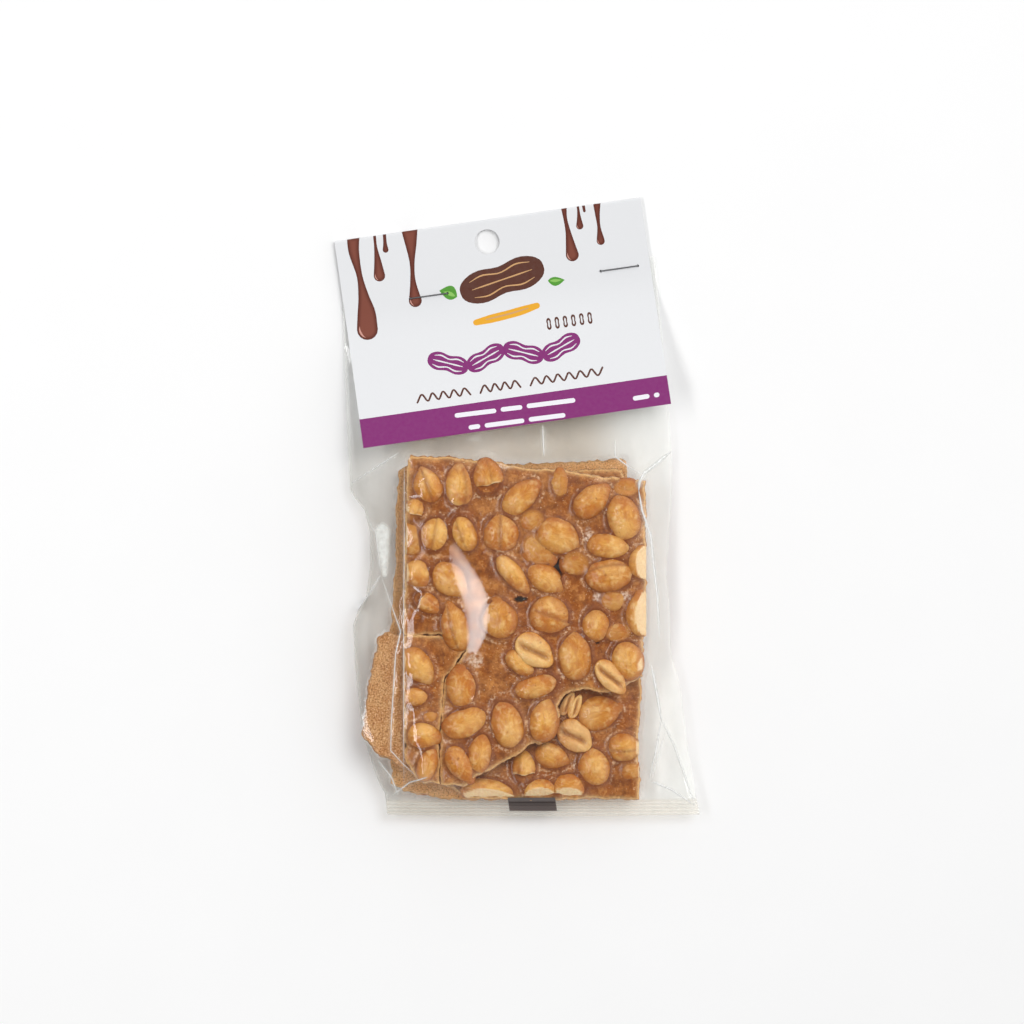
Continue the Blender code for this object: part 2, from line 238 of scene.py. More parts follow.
MIDDLE_NUTS = [
    (599, 712, 44, 35, 15, "whole"), (567, 704, 24, 11, 62, "open"), (575, 707, 24, 11, 66, "open"),
    (574, 735.5, 36, 28, -40, "open"), (552, 756, 35, 26, -20, "whole"), (593.6, 767, 40, 33, 100, "whole"),
    (624, 747.5, 32, 28, 0, "line"), (632, 770.5, 20, 16, 0, "low"), (569.7, 787, 36, 30, 0, "whole"),
    (541, 790, 36, 24, 5, "pale"), (523.5, 767, 38, 26, 90, "broken"), (488, 790, 56, 26, -6, "pale"),
]

# Holes in the top slab, sunk and darkened with painted shade, as (px, py, half width, half height) in pixels
PITS = [(520.4, 598.8, 5.6, 2.4), (556.5, 567.5, 7.0, 8.5), (597, 641, 2.2, 2.2), (404.5, 745, 2.5, 3.5)]

# Pale sugary spots of the top slab, in the same way
FROSTS = [(475, 661, 8, 9), (588, 537, 4, 9), (624, 596, 7, 4), (596, 596, 4, 5), (505, 466, 12, 3)]

# Kinds of nut: how far the top stands above the plate, its growth in length and width against the
# lists, which give what shows, its thickness as a share of its width, and the mesh
NUT_RISE = {"whole": 3.0, "line": 2.9, "broken": 2.7, "pale": 2.8, "open": 2.1, "low": 1.2}
NUT_SCALE = {"low": (1.25, 1.35)}
USUAL_SCALE = (1.05, 1.05)
NUT_DEPTH = 0.78
MOST_NUT_DEPTH = 3.5
OPEN_FLAT = 0.28
BROKEN_AT = 0.42
LOW_DEPTH = 0.62
NUT_RINGS = 22
NUT_SIDES = 36
NUT_SHARP = 55

# Sawn sides as (a point in pixels, outward normal, lean of the face)
LEFT_CUT = ((406.5, 540), (-1.0, 0.0), 0.45)
RIGHT_CUT = ((645.9, 590), (1.0, 0.0), 1.25)
BOTTOM_CUT = ((560, 798), (0.0, -1.0), 1.3)
MIDDLE_RIGHT_CUT = ((639, 760), (1.0, 0.0), 0.6)
CORNER_CUT = ((404.2, 700), (-1.0, 0.0), 0.25)

# Creases of the film: height, reach and half width of its milky ridge in millimetres, and the line in pixels
CREASES = [
    (0.55, 0.7, 0.26, [(351.5, 483), (375, 468), (398.7, 453)]),
    (0.40, 0.6, 0.17, [(365.5, 516.5), (375.7, 534), (381, 575)]),
    (0.40, 0.7, 0.22, [(381, 575), (370, 592), (356.6, 612)]),
    (0.40, 0.5, 0.17, [
        (382, 578), (401, 631), (396, 653), (391.6, 724), (391, 750), (403, 763), (415, 774),
    ]),
    (0.28, 0.4, 0.10, [(404.5, 465), (404.5, 540), (404, 620), (404, 700), (404, 785)]),
    (0.45, 0.8, 0.30, [(542.7, 425), (543, 440), (544, 457)]),
    (0.60, 0.8, 0.55, [(671, 451.5), (657, 463), (644, 473), (639, 482), (638.4, 491)]),
    (0.50, 0.8, 0.42, [(638.4, 491), (641.6, 510), (650.5, 536), (653, 561), (657, 593), (659.4, 639)]),
    (0.50, 0.8, 0.20, [(615, 440), (615, 457), (630, 468), (644, 476)]),
    (0.65, 0.7, 0.45, [(661, 719), (656, 690), (651, 665)]),
    (0.65, 0.7, 0.36, [(661, 719), (656, 750), (649, 779)]),
    (0.65, 0.8, 0.36, [(661, 719), (674, 745), (695.5, 806)]),
    (0.35, 0.7, 0.20, [(666, 730), (658, 756), (651, 781)]),
    (0.40, 0.8, 0.36, [(651, 781), (672, 790), (695.5, 806)]),
    (0.35, 0.8, 0.22, [(378, 760), (392, 778), (398, 796)]),
    (0.30, 0.6, 0.20, [(392, 796), (410, 782), (428, 776)]),
]
CRINKLE = {"top": (382.5, 531), "bottom": (384.5, 574), "width": 3.2, "height": 0.35}
HIGHLIGHT_BAND = {
    "line": [
        (453.5, 544), (457, 559), (463.5, 574), (471, 589), (476, 604), (477.5, 620), (476, 635), (472, 651),
    ],
    "width": 9.0,
    "slope": 0.262,
    "fall": 11.0,
}
TAUT = {"line": [(455, 540), (474, 572), (486, 602), (488, 630), (478, 652)], "level": 20.80, "width": 11.5}
DULL = {"line": [(409, 518), (420, 526), (424, 540), (413, 562)], "width": 3.0}
MARK_LEFT_TOP = (508, 797.5)
MARK_RIGHT_BOTTOM = (555, 811.5)


def from_photo(px, py):
    return (px - ORIGIN_PIXEL[0]) * PIXEL, (ORIGIN_PIXEL[1] - py) * PIXEL


def line_from_photo(line):
    return np.array([from_photo(px, py) for px, py in line])


def anticlockwise(outline):
    x, y = outline.T
    return outline if np.sum(x * np.roll(y, -1) - np.roll(x, -1) * y) > 0 else outline[::-1]


def smoothstep(low, high, value):
    share = np.clip((value - low) / (high - low), 0.0, 1.0)
    return share * share * (3 - 2 * share)


def noise(x, y, size, seed, octaves=1):
    """Smooth seeded noise from about -1 to 1; size is its coarsest cell in millimetres."""
    lattice = np.random.default_rng(seed).uniform(-1, 1, (64, 64))
    total = np.zeros(np.broadcast(x, y).shape)
    for octave in range(octaves):
        u = np.asarray(x) / size * 2**octave + 7.3 * octave
        v = np.asarray(y) / size * 2**octave + 3.9 * octave
        i, j = np.floor(u).astype(int), np.floor(v).astype(int)
        fu, fv = smoothstep(0, 1, u - i), smoothstep(0, 1, v - j)
        near = lattice[i % 64, j % 64] * (1 - fu) + lattice[(i + 1) % 64, j % 64] * fu
        far = lattice[i % 64, (j + 1) % 64] * (1 - fu) + lattice[(i + 1) % 64, (j + 1) % 64] * fu
        total += (near * (1 - fv) + far * fv) / 2**octave
    return total


def segment_distance(x, y, start, end):
    """Distance to a segment, and how far along it the nearest point lies, from 0 to 1."""
    side_x, side_y = end[0] - start[0], end[1] - start[1]
    share = ((x - start[0]) * side_x + (y - start[1]) * side_y) / max(side_x**2 + side_y**2, 1e-9)
    share = np.clip(share, 0, 1)
    return np.hypot(x - start[0] - share * side_x, y - start[1] - share * side_y), share


def depth_inside(x, y, outline):
    """Distance from each point to the closed outline, positive inside it."""
    nearest = np.full(np.shape(x), np.inf)
    inside = np.zeros(np.shape(x), bool)
    for start, end in zip(outline, np.roll(outline, -1, axis=0)):
        nearest = np.minimum(nearest, segment_distance(x, y, start, end)[0])
        if end[1] != start[1]:
            crossing = start[0] + (y - start[1]) / (end[1] - start[1]) * (end[0] - start[0])
            inside ^= ((start[1] > y) != (end[1] > y)) & (x < crossing)
    return np.where(inside, nearest, -nearest)


def line_distance(x, y, line):
    """Distance to an open line, and how far along the whole line the nearest point lies, from 0 to 1."""
    lengths = np.hypot(*np.diff(line, axis=0).T)
    ends = np.concatenate([[0], np.cumsum(lengths)]) / lengths.sum()
    nearest, along = np.full(np.shape(x), np.inf), np.zeros(np.shape(x))
    for index, (start, end) in enumerate(zip(line, line[1:])):
        distance, share = segment_distance(x, y, start, end)
        along = np.where(distance < nearest, ends[index] + share * (ends[index + 1] - ends[index]), along)
        nearest = np.minimum(nearest, distance)
    return nearest, along


def resampled(outline, step):
    """The closed outline with points about this far apart, corners kept."""
    points = []
    for start, end in zip(outline, np.roll(outline, -1, axis=0)):
        count = max(1, round(float(np.hypot(*(end - start))) / step))
        points += [start + (end - start) * share for share in np.arange(count) / count]
    return np.array(points)


def resampled_line(line, step):
    """The open line with points about this far apart."""
    lengths = np.concatenate([[0], np.cumsum(np.hypot(*np.diff(line, axis=0).T))])
    spots = np.linspace(0, lengths[-1], max(3, round(lengths[-1] / step) + 1))
    return np.column_stack([np.interp(spots, lengths, line[:, axis]) for axis in (0, 1)])


def outward(ring):
    """Unit normals of a closed anticlockwise ring, pointing out of it, smoothed round its corners."""
    along = np.roll(ring, -1, axis=0) - np.roll(ring, 1, axis=0)
    for _ in range(3):
        along = (np.roll(along, -1, axis=0) + 2 * along + np.roll(along, 1, axis=0)) / 4
    along /= np.maximum(np.hypot(*along.T), 1e-9)[:, None]
    return np.stack([along[:, 1], -along[:, 0]], axis=1)


def straightness(ring):
    """1 along straight runs of a ring, less near its sharp corners."""
    ahead, behind = np.roll(ring, -3, axis=0) - ring, ring - np.roll(ring, 3, axis=0)
    lengths = np.hypot(*ahead.T) * np.hypot(*behind.T)
    share = np.clip(np.sum(ahead * behind, axis=1) / np.maximum(lengths, 1e-9), 0, 1) ** 2
    for _ in range(4):
        share = np.minimum(share, (np.roll(share, 1) + np.roll(share, -1)) / 2 + 0.1)
    return share


def crosses_itself(ring):
    made = delaunay_2d_cdt([Vector(point) for point in ring], [], [list(range(len(ring)))], 1, 1e-7)
    return len(made[0]) != len(ring)


def moved_out(ring, normals, shift):
    """The ring moved along its normals by as much of the shift as it takes without crossing itself."""
    for share in (1.0, 0.75, 0.5, 0.25):
        made = ring + normals * (share * shift)[:, None]
        if not crosses_itself(made):
            return made
    return ring


def curve_through(points, count):
    """A smooth open line through the points (Catmull-Rom)."""
    points = np.asarray(points, float)
    padded = np.concatenate([[2 * points[0] - points[1]], points, [2 * points[-1] - points[-2]]])
    spots = np.linspace(0, len(points) - 1, count)
    index = np.minimum(spots.astype(int), len(points) - 2)
    t = (spots - index)[:, None]
    a, b, c, d = (padded[index + shift] for shift in range(4))
    return 0.5 * (2 * b + (c - a) * t + (2 * a - 5 * b + 4 * c - d) * t**2 + (3 * b - a - 3 * c + d) * t**3)


# Materials


def srgb(red, green, blue):
    """Linear colour of an sRGB one given from 0 to 255."""
    values = np.array([red, green, blue]) / 255
    linear = np.where(values <= 0.04045, values / 12.92, ((values + 0.055) / 1.055) ** 2.4)
    return (*[float(value) for value in linear], 1.0)


def new_material(name):
    made = bpy.data.materials.new(name)
    made.use_nodes = True
    made.node_tree.nodes.clear()
    return made, made.node_tree


def node(tree, kind, inputs=None, **settings):
    """A shader node with its settings, and its inputs set to values or linked to sockets."""
    made = tree.nodes.new(kind)
    for name, value in settings.items():
        setattr(made, name, value)
    for name, value in (inputs or {}).items():
        if isinstance(value, bpy.types.NodeSocket):
            tree.links.new(value, made.inputs[name])
        else:
            made.inputs[name].default_value = value
    return made


def coordinates(tree):
    return node(tree, "ShaderNodeTexCoord").outputs["Object"]


def noise_texture(tree, size, detail=3.0, rough=0.55, stretch=(1, 1, 1)):
    """Noise of this cell size in millimetres, from 0 to 1."""
    where = node(tree, "ShaderNodeMapping", {"Vector": coordinates(tree), "Scale": stretch})
    inputs = {"Vector": where.outputs[0], "Scale": 1 / (size * MM), "Detail": detail, "Roughness": rough}
    return node(tree, "ShaderNodeTexNoise", inputs).outputs["Fac"]


def attribute(tree, name):
    return node(tree, "ShaderNodeAttribute", attribute_name=name).outputs["Fac"]


def remap(tree, value, low, high, to_low=0.0, to_high=1.0):
    inputs = {"Value": value, "From Min": low, "From Max": high, "To Min": to_low, "To Max": to_high}
    return node(tree, "ShaderNodeMapRange", inputs).outputs[0]


def mixed(tree, share, first, second, blend="MIX"):
    made = node(tree, "ShaderNodeMix", data_type="RGBA", blend_type=blend)
    for socket, value in ((made.inputs[0], share), (made.inputs[6], first), (made.inputs[7], second)):
        if isinstance(value, bpy.types.NodeSocket):
            tree.links.new(value, socket)
        else:
            socket.default_value = value
    return made.outputs[2]


def math_node(tree, operation, first, second=0.0):
    made = node(tree, "ShaderNodeMath", operation=operation)
    for socket, value in zip(made.inputs, (first, second)):
        if isinstance(value, bpy.types.NodeSocket):
            tree.links.new(value, socket)
        else:
            socket.default_value = value
    return made.outputs[0]


def bump(tree, height, distance, strength=1.0, normal=None):
    inputs = {"Height": height, "Distance": distance * MM, "Strength": strength}
    if normal is not None:
        inputs["Normal"] = normal
    return node(tree, "ShaderNodeBump", inputs).outputs[0]


def finish_material(made, tree, shader):
    node(tree, "ShaderNodeOutputMaterial", {"Surface": shader.outputs[0]})
    return made


def product(tree, first, second):
    return math_node(tree, "MULTIPLY", first, second)


def layered(tree, colour, layers):
    """The colour with others laid over it, each as (value, low, high, share at high, sRGB colour)."""
    for value, low, high, share, tint in layers:
        colour = mixed(tree, remap(tree, value, low, high, 0.0, share), colour, srgb(*tint))
    return colour


def principled(made, tree, inputs):
    shader = node(tree, "ShaderNodeBsdfPrincipled", inputs)
    return finish_material(made, tree, shader)


def glaze_material():
    """Poured side of the brittle: clear brown caramel with a sugary bloom, specks and small bubbles. It is
    darker where it pools round each nut, partly as painted shade, has painted shade in its holes, and has a
    ring of painted highlight round each nut.
    """
    made, tree = new_material("brittle_glaze")
    broad = noise_texture(tree, 11.0, 3.0)
    patches = noise_texture(tree, 3.2, 4.0, 0.6)
    fine = noise_texture(tree, 0.8, 3.0, 0.6)
    colour = mixed(tree, remap(tree, broad, 0.42, 0.58), srgb(154, 82, 12), srgb(172, 108, 50))
    beads = noise_texture(tree, 0.9, 3.0, 0.6)
    patchy = noise_texture(tree, 6.0, 1.0)
    specks = noise_texture(tree, 0.55, 1.0, 0.4)
    edge = product(tree, attribute(tree, "edge"), remap(tree, fine, 0.3, 0.55, 0.5, 1.0))
    # Ring of painted highlight round each nut, broken into beads.
    ring = product(tree, attribute(tree, "meniscus_glint"), remap(tree, beads, 0.46, 0.62, 0.0, 0.8))
    ring = product(tree, ring, remap(tree, patchy, 0.45, 0.58))
    frost = product(tree, attribute(tree, "frost"), remap(tree, beads, 0.40, 0.60, 0.1, 0.9))
    layers = [
        (patches, 0.50, 0.36, 0.7, (116, 60, 20)),
        (patches, 0.54, 0.68, 0.7, (208, 138, 62)),
        (fine, 0.54, 0.72, 0.25, (220, 156, 88)),
        (fine, 0.46, 0.32, 0.3, (110, 52, 10)),
        # Darker at each nut's foot: partly thicker caramel, partly painted shade.
        (attribute(tree, "rim"), 0.0, 1.0, 1.0, (118, 56, 10)),
        (attribute(tree, "sunk"), 0.0, 1.0, 1.0, (206, 138, 60)),
        (edge, 0.0, 1.0, 1.0, (240, 194, 128)),
        # Painted highlight ringed round each nut.
        (ring, 0.0, 1.0, 1.0, (236, 196, 156)),
        (frost, 0.0, 1.0, 1.0, (228, 200, 176)),
        (specks, 0.74, 0.78, 0.8, (246, 216, 176)),
        # Painted shade in the holes.
        (attribute(tree, "pit_shade"), 0.0, 1.0, 1.0, (52, 28, 10)),
    ]
    colour = layered(tree, colour, layers)
    relief = bump(tree, patches, 0.5, 0.3)
    relief = bump(tree, fine, 0.10, 0.3, relief)
    relief = bump(tree, specks, 0.10, 0.4, relief)
    inputs = {
        "Base Color": colour,
        "Roughness": remap(tree, patches, 0.3, 0.7, 0.12, 0.34),
        "Normal": relief,
        "Subsurface Weight": 0.10,
        "Subsurface Radius": (1.0, 0.45, 0.2),
        "Subsurface Scale": 1.4 * MM,
        "IOR": 1.49,
    }
    return principled(made, tree, inputs)


def sandy_material(name, low, high):
    """Broken sides and back of the brittle: matt, grainy, a little paler."""
    made, tree = new_material(name)
    broad = noise_texture(tree, 6.0, 3.0)
    grain = noise_texture(tree, 0.5, 3.0, 0.8)
    colour = mixed(tree, remap(tree, broad, 0.35, 0.65), low, high)
    grains = [(grain, 0.48, 0.38, 0.9, (132, 74, 30)), (grain, 0.54, 0.64, 0.85, (244, 210, 166))]
    colour = layered(tree, colour, grains)
    inputs = {
        "Base Color": colour,
        "Roughness": 0.62,
        "Normal": bump(tree, grain, 0.40, 0.8),
        "Subsurface Weight": 0.08,
        "Subsurface Radius": (1.0, 0.5, 0.25),
        "Subsurface Scale": 1.2 * MM,
    }
    return principled(made, tree, inputs)


def nut_material():
    """Roasted kernels under a thin caramel coating, pale where they are split or cut. They carry painted
    light and shade: lighter at the top and on one side, darker on the other side and lower down (the lower
    darkening partly from the coating), and pale patches partly as painted highlights.
    """
    made, tree = new_material("roasted_nut")
    along_grain = {"X": attribute(tree, "grain_along"), "Y": attribute(tree, "grain_round")}
    where = node(tree, "ShaderNodeCombineXYZ", along_grain).outputs[0]
    inputs = {"Vector": where, "Scale": 1.0, "Detail": 4.0, "Roughness": 0.6}
    streaks = node(tree, "ShaderNodeTexNoise", inputs).outputs["Fac"]
    mottle = noise_texture(tree, 4.5, 2.0)
    dents_and_glints = noise_texture(tree, 2.4, 2.0, 0.5)
    dark_spots = noise_texture(tree, 1.6, 2.0, 0.5)
    crown = attribute(tree, "crown")
    layers = [
        (streaks, 0.48, 0.68, 0.5, (240, 190, 108)),
        (streaks, 0.46, 0.32, 0.55, (178, 98, 22)),
        (mottle, 0.50, 0.32, 0.7, (186, 102, 26)),
        # Painted shade and painted highlight: darker low down and on one side, lighter at the top and on the
        # other.
        (crown, 0.0, -0.8, 0.5, (184, 102, 28)),
        (crown, 0.05, 0.8, 0.5, (248, 204, 132)),
        # Pale patches: partly uneven tone, partly painted highlight.
        (dents_and_glints, 0.53, 0.72, 0.5, (250, 210, 142)),
        (dark_spots, 0.68, 0.76, 0.55, (150, 80, 24)),
        # Darker lower down: partly caramel coating, partly painted shade.
        (attribute(tree, "coat_and_shade"), 0.0, 1.0, 1.0, (158, 84, 18)),
        (attribute(tree, "seam"), 0.0, 1.0, 1.0, (128, 66, 26)),
    ]
    colour = mixed(tree, attribute(tree, "tone"), srgb(198, 122, 32), srgb(226, 164, 74))
    colour = layered(tree, colour, layers)
    inside = attribute(tree, "inside")
    grain = noise_texture(tree, 0.5, 3.0, 0.6)
    flesh = mixed(tree, remap(tree, grain, 0.35, 0.65), srgb(232, 190, 136), srgb(246, 218, 172))
    colour = mixed(tree, inside, colour, flesh)
    relief = bump(tree, streaks, 0.35, 0.5)
    relief = bump(tree, dents_and_glints, 0.9, 0.6, relief)
    relief = bump(tree, noise_texture(tree, 0.9, 2.0, 0.5), 0.14, 0.5, relief)
    relief = bump(tree, grain, 0.05, 0.4, relief)
    inputs = {
        "Base Color": colour,
        "Roughness": remap(tree, inside, 0.0, 1.0, 0.15, 0.5),
        "Normal": relief,
        "Subsurface Weight": 0.14,
        "Subsurface Radius": (1.0, 0.5, 0.22),
        "Subsurface Scale": 2.0 * MM,
        "IOR": 1.49,
    }
    return principled(made, tree, inputs)


def film_material(name, tint, grey_tint, milk, haze_low, haze_high):
    """Clear film: what lies behind shows through a thin gloss, milky along its creases."""
    made, tree = new_material(name)
    fine = noise_texture(tree, 3.0, 3.0, 0.6, (1.0, 0.35, 1.0))
    relief = bump(tree, attribute(tree, "lift"), 1.0)
    relief = bump(tree, fine, 0.06, 0.2, relief)
    # The darker tint is painted shade, partly a denser fold; the warmer one is partly a painted reflection.
    seen_through = mixed(tree, attribute(tree, "grey_and_shade"), tint, grey_tint)
    warmth = mixed(tree, attribute(tree, "warm_and_reflection"), (1, 1, 1, 1), FILM_WARM_TINT)
    seen_through = mixed(tree, 1.0, seen_through, warmth, "MULTIPLY")
    clear = node(tree, "ShaderNodeBsdfTransparent", {"Color": seen_through})
    milky = node(tree, "ShaderNodeBsdfDiffuse", {"Color": milk, "Normal": relief})
    haze = remap(tree, attribute(tree, "haze"), 0.0, 2.0, haze_low, 2 * haze_high - haze_low)
    body = node(tree, "ShaderNodeMixShader", {0: haze, 1: clear.outputs[0], 2: milky.outputs[0]})
    fresnel = node(tree, "ShaderNodeFresnel", {"IOR": 1.5, "Normal": relief}).outputs[0]
    both_faces = math_node(tree, "MINIMUM", product(tree, fresnel, 2.0), MOST_GLOSS)
    share = remap(tree, attribute(tree, "sheen"), -1.0, 1.0, 0.16, 0.64)
    both_faces = product(tree, both_faces, share)
    gloss = node(tree, "ShaderNodeBsdfGlossy", {"Color": both_faces, "Roughness": 0.09, "Normal": relief})
    both = node(tree, "ShaderNodeAddShader", {0: body.outputs[0], 1: gloss.outputs[0]})
    return finish_material(made, tree, both)


def board_material(name, colour, rough=0.42, variation=0.015):
    """Printed or bare coated board."""
    made, tree = new_material(name)
    fibre = noise_texture(tree, 1.2, 4.0, 0.7)
    broad = noise_texture(tree, 22.0, 2.0)
    base = mixed(tree, remap(tree, fibre, 0.3, 0.7, 0.0, variation * 2), colour, (0.55, 0.55, 0.55, 1))
    inputs = {
        "Base Color": base,
        "Roughness": remap(tree, fibre, 0.3, 0.7, rough - 0.05, rough + 0.05),
        "Normal": bump(tree, broad, 0.25, 0.3, bump(tree, fibre, 0.02, 0.4)),
        "Specular IOR Level": 0.3,
    }
    return principled(made, tree, inputs)


def drip_material():
    """Printed chocolate: dark in the middle, reddish and lighter towards the rim."""
    made, tree = new_material("print_drip")
    colour = mixed(tree, attribute(tree, "depth"), srgb(92, 44, 34), srgb(128, 72, 58))
    inputs = {"Base Color": colour, "Roughness": 0.42, "Specular IOR Level": 0.3}
    return principled(made, tree, inputs)


def steel_material():
    made, tree = new_material("staple_steel")
    brushed = noise_texture(tree, 0.25, 3.0, 0.6, (0.2, 1, 1))
    inputs = {
        "Base Color": mixed(tree, brushed, srgb(120, 120, 122), srgb(172, 172, 174)),
        "Metallic": 1.0,
        "Roughness": remap(tree, brushed, 0.3, 0.7, 0.28, 0.45),
        "Normal": bump(tree, brushed, 0.02, 0.5),
    }
    return principled(made, tree, inputs)


# Mesh helpers


def add_piece(name, points, faces, materials, indices=None, attributes=None, sharp=None):
    """A smooth-shaded mesh object from points in millimetres."""
    mesh = bpy.data.meshes.new(name)
    mesh.from_pydata((np.asarray(points) * MM).tolist(), [], faces)
    for made in materials:
        mesh.materials.append(made)
    if indices is not None:
        mesh.polygons.foreach_set("material_index", np.asarray(indices, np.int32))
    for key, values in (attributes or {}).items():
        mesh.attributes.new(key, "FLOAT", "POINT").data.foreach_set("value", np.asarray(values, np.float32))
    mesh.shade_smooth()
    if sharp is not None:
        mesh.set_sharp_from_angle(angle=math.radians(sharp))
    mesh.validate()
    mesh.update()
    item = bpy.data.objects.new(name, mesh)
    bpy.context.scene.collection.objects.link(item)
    return item


def settle(item, slot, *nodes):
    """The piece rides on the pack and stands for solids; the slot is not used."""
    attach(item, "root")
    if nodes:
        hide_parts(*nodes)
    return item


def triangulated(ring, inner):
    """Triangles, as rows of three, over a closed ring with points inside it."""
    points = [Vector(point) for point in ring] + [Vector(point) for point in inner]
    made = delaunay_2d_cdt(points, [], [list(range(len(ring)))], 1, 1e-7)
    if len(made[0]) != len(points):
        raise ValueError("the outline crosses itself or a point")
    return np.array(made[2])


def strip(near, far):
    """Quads between two closed rings of vertex numbers."""
    return np.stack([near, np.roll(near, -1), np.roll(far, -1), far], axis=1)


# Slabs of brittle


def nut_frame(nut):
    """Middle, half length, half width and turn of a nut of the lists, in millimetres."""
    px, py, length, width, turn, _ = nut
    x, y = from_photo(px, py)
    return x, y, length * PIXEL / 2, width * PIXEL / 2, math.radians(turn)


def nut_reach(x, y, nut):
    """1 on the nut's outline, less inside it and more outside."""
    middle_x, middle_y, half_length, half_width, turn = nut_frame(nut)
    along = (x - middle_x) * math.cos(turn) + (y - middle_y) * math.sin(turn)
    aside = (y - middle_y) * math.cos(turn) - (x - middle_x) * math.sin(turn)
    return np.hypot(along / half_length, aside / half_width), half_width


def spot_reach(x, y, spot):
    """1 on the outline of a hole or frost of the lists, less inside it and more outside."""
    px, py, half_width, half_height = spot
    middle_x, middle_y = from_photo(px, py)
    return np.hypot((x - middle_x) / half_width, (y - middle_y) / half_height) / PIXEL


def glaze_level(x, y, bottom, nuts, depth, seed):
    """Level of the poured side: rolling caramel that climbs each nut, with rounded edges."""
    level = bottom + PLATE + 0.28 * noise(x, y, 13, seed, 2) + 0.13 * noise(x, y, 3.4, seed + 1, 3)
    rim, sunk, meniscus_glint, pit_shade, frost = (np.zeros(x.shape) for _ in range(5))
    for nut in nuts:
        reach, half_width = nut_reach(x, y, nut)
        outside = np.clip(reach - 0.95, 0, None) * half_width
        low = nut[5] == "low"
        climb = CLIMB * np.exp(-((outside / CLIMB_WIDTH) ** 1.2))
        # Painted highlight: a thin light ring round each nut, where the climbing caramel would catch the
        # lamps.
        ring = np.exp(-(((outside - GLINT_RING_AT) / GLINT_RING_WIDTH) ** 2)) * (reach > 0.95) * (not low)
        meniscus_glint = np.maximum(meniscus_glint, ring)
        level = np.maximum(level, level + climb * (0.6 if low else 1.0) * (reach < 3))
        # Darker caramel at each nut's foot: partly thicker caramel, partly painted shade in the crease round
        # the nut.
        rim = np.maximum(rim, 0.8 * np.exp(-outside / 0.9) * (reach > 0.8))
        meniscus_glint = np.where(reach < 1.0, 0, meniscus_glint)
        if low:
            dome = np.sqrt(np.clip(1 - (reach / 1.05) ** 2, 0, None))
            sunk = np.maximum(sunk, smoothstep(0.0, 0.9, dome) * 0.7)
    level = np.minimum(level, bottom + PLATE + MOST_CLIMB)
    level -= EDGE_DROP * np.exp(-depth / EDGE_WIDTH)
    # Holes sink into the caramel, and their dark colour is painted shade.
    for spot in PITS:
        reach = spot_reach(x, y, spot) + 0.25 * noise(x, y, 1.1, seed + 9, 2)
        pit_shade = np.maximum(pit_shade, smoothstep(1.15, 0.7, reach))
    for spot in FROSTS:
        reach = spot_reach(x, y, spot) + 0.35 * noise(x, y, 1.6, seed + 13, 2)
        frost = np.maximum(frost, smoothstep(1.3, 0.4, reach))
    level -= PIT_DEPTH * pit_shade
    looks = {"rim": rim * (1 - sunk), "sunk": sunk, "meniscus_glint": meniscus_glint * (1 - sunk), "pit_shade": pit_shade, "frost": frost}
    return level, looks


def plan_grid(low, high, step):
    """The points of a square grid over a box, as x and y."""
    x, y = np.meshgrid(np.arange(low[0], high[0], step), np.arange(low[1], high[1], step))
    return x.ravel(), y.ravel()


def turned_over(points, faces, layer):
    """Points and faces of a slab or its nuts with the poured side down, in the same layer."""
    points[:, 2] = 2 * LAYER_BOTTOM[layer] + PLATE + NUT_SPACE - points[:, 2]
    return points, [face[::-1] for face in faces]


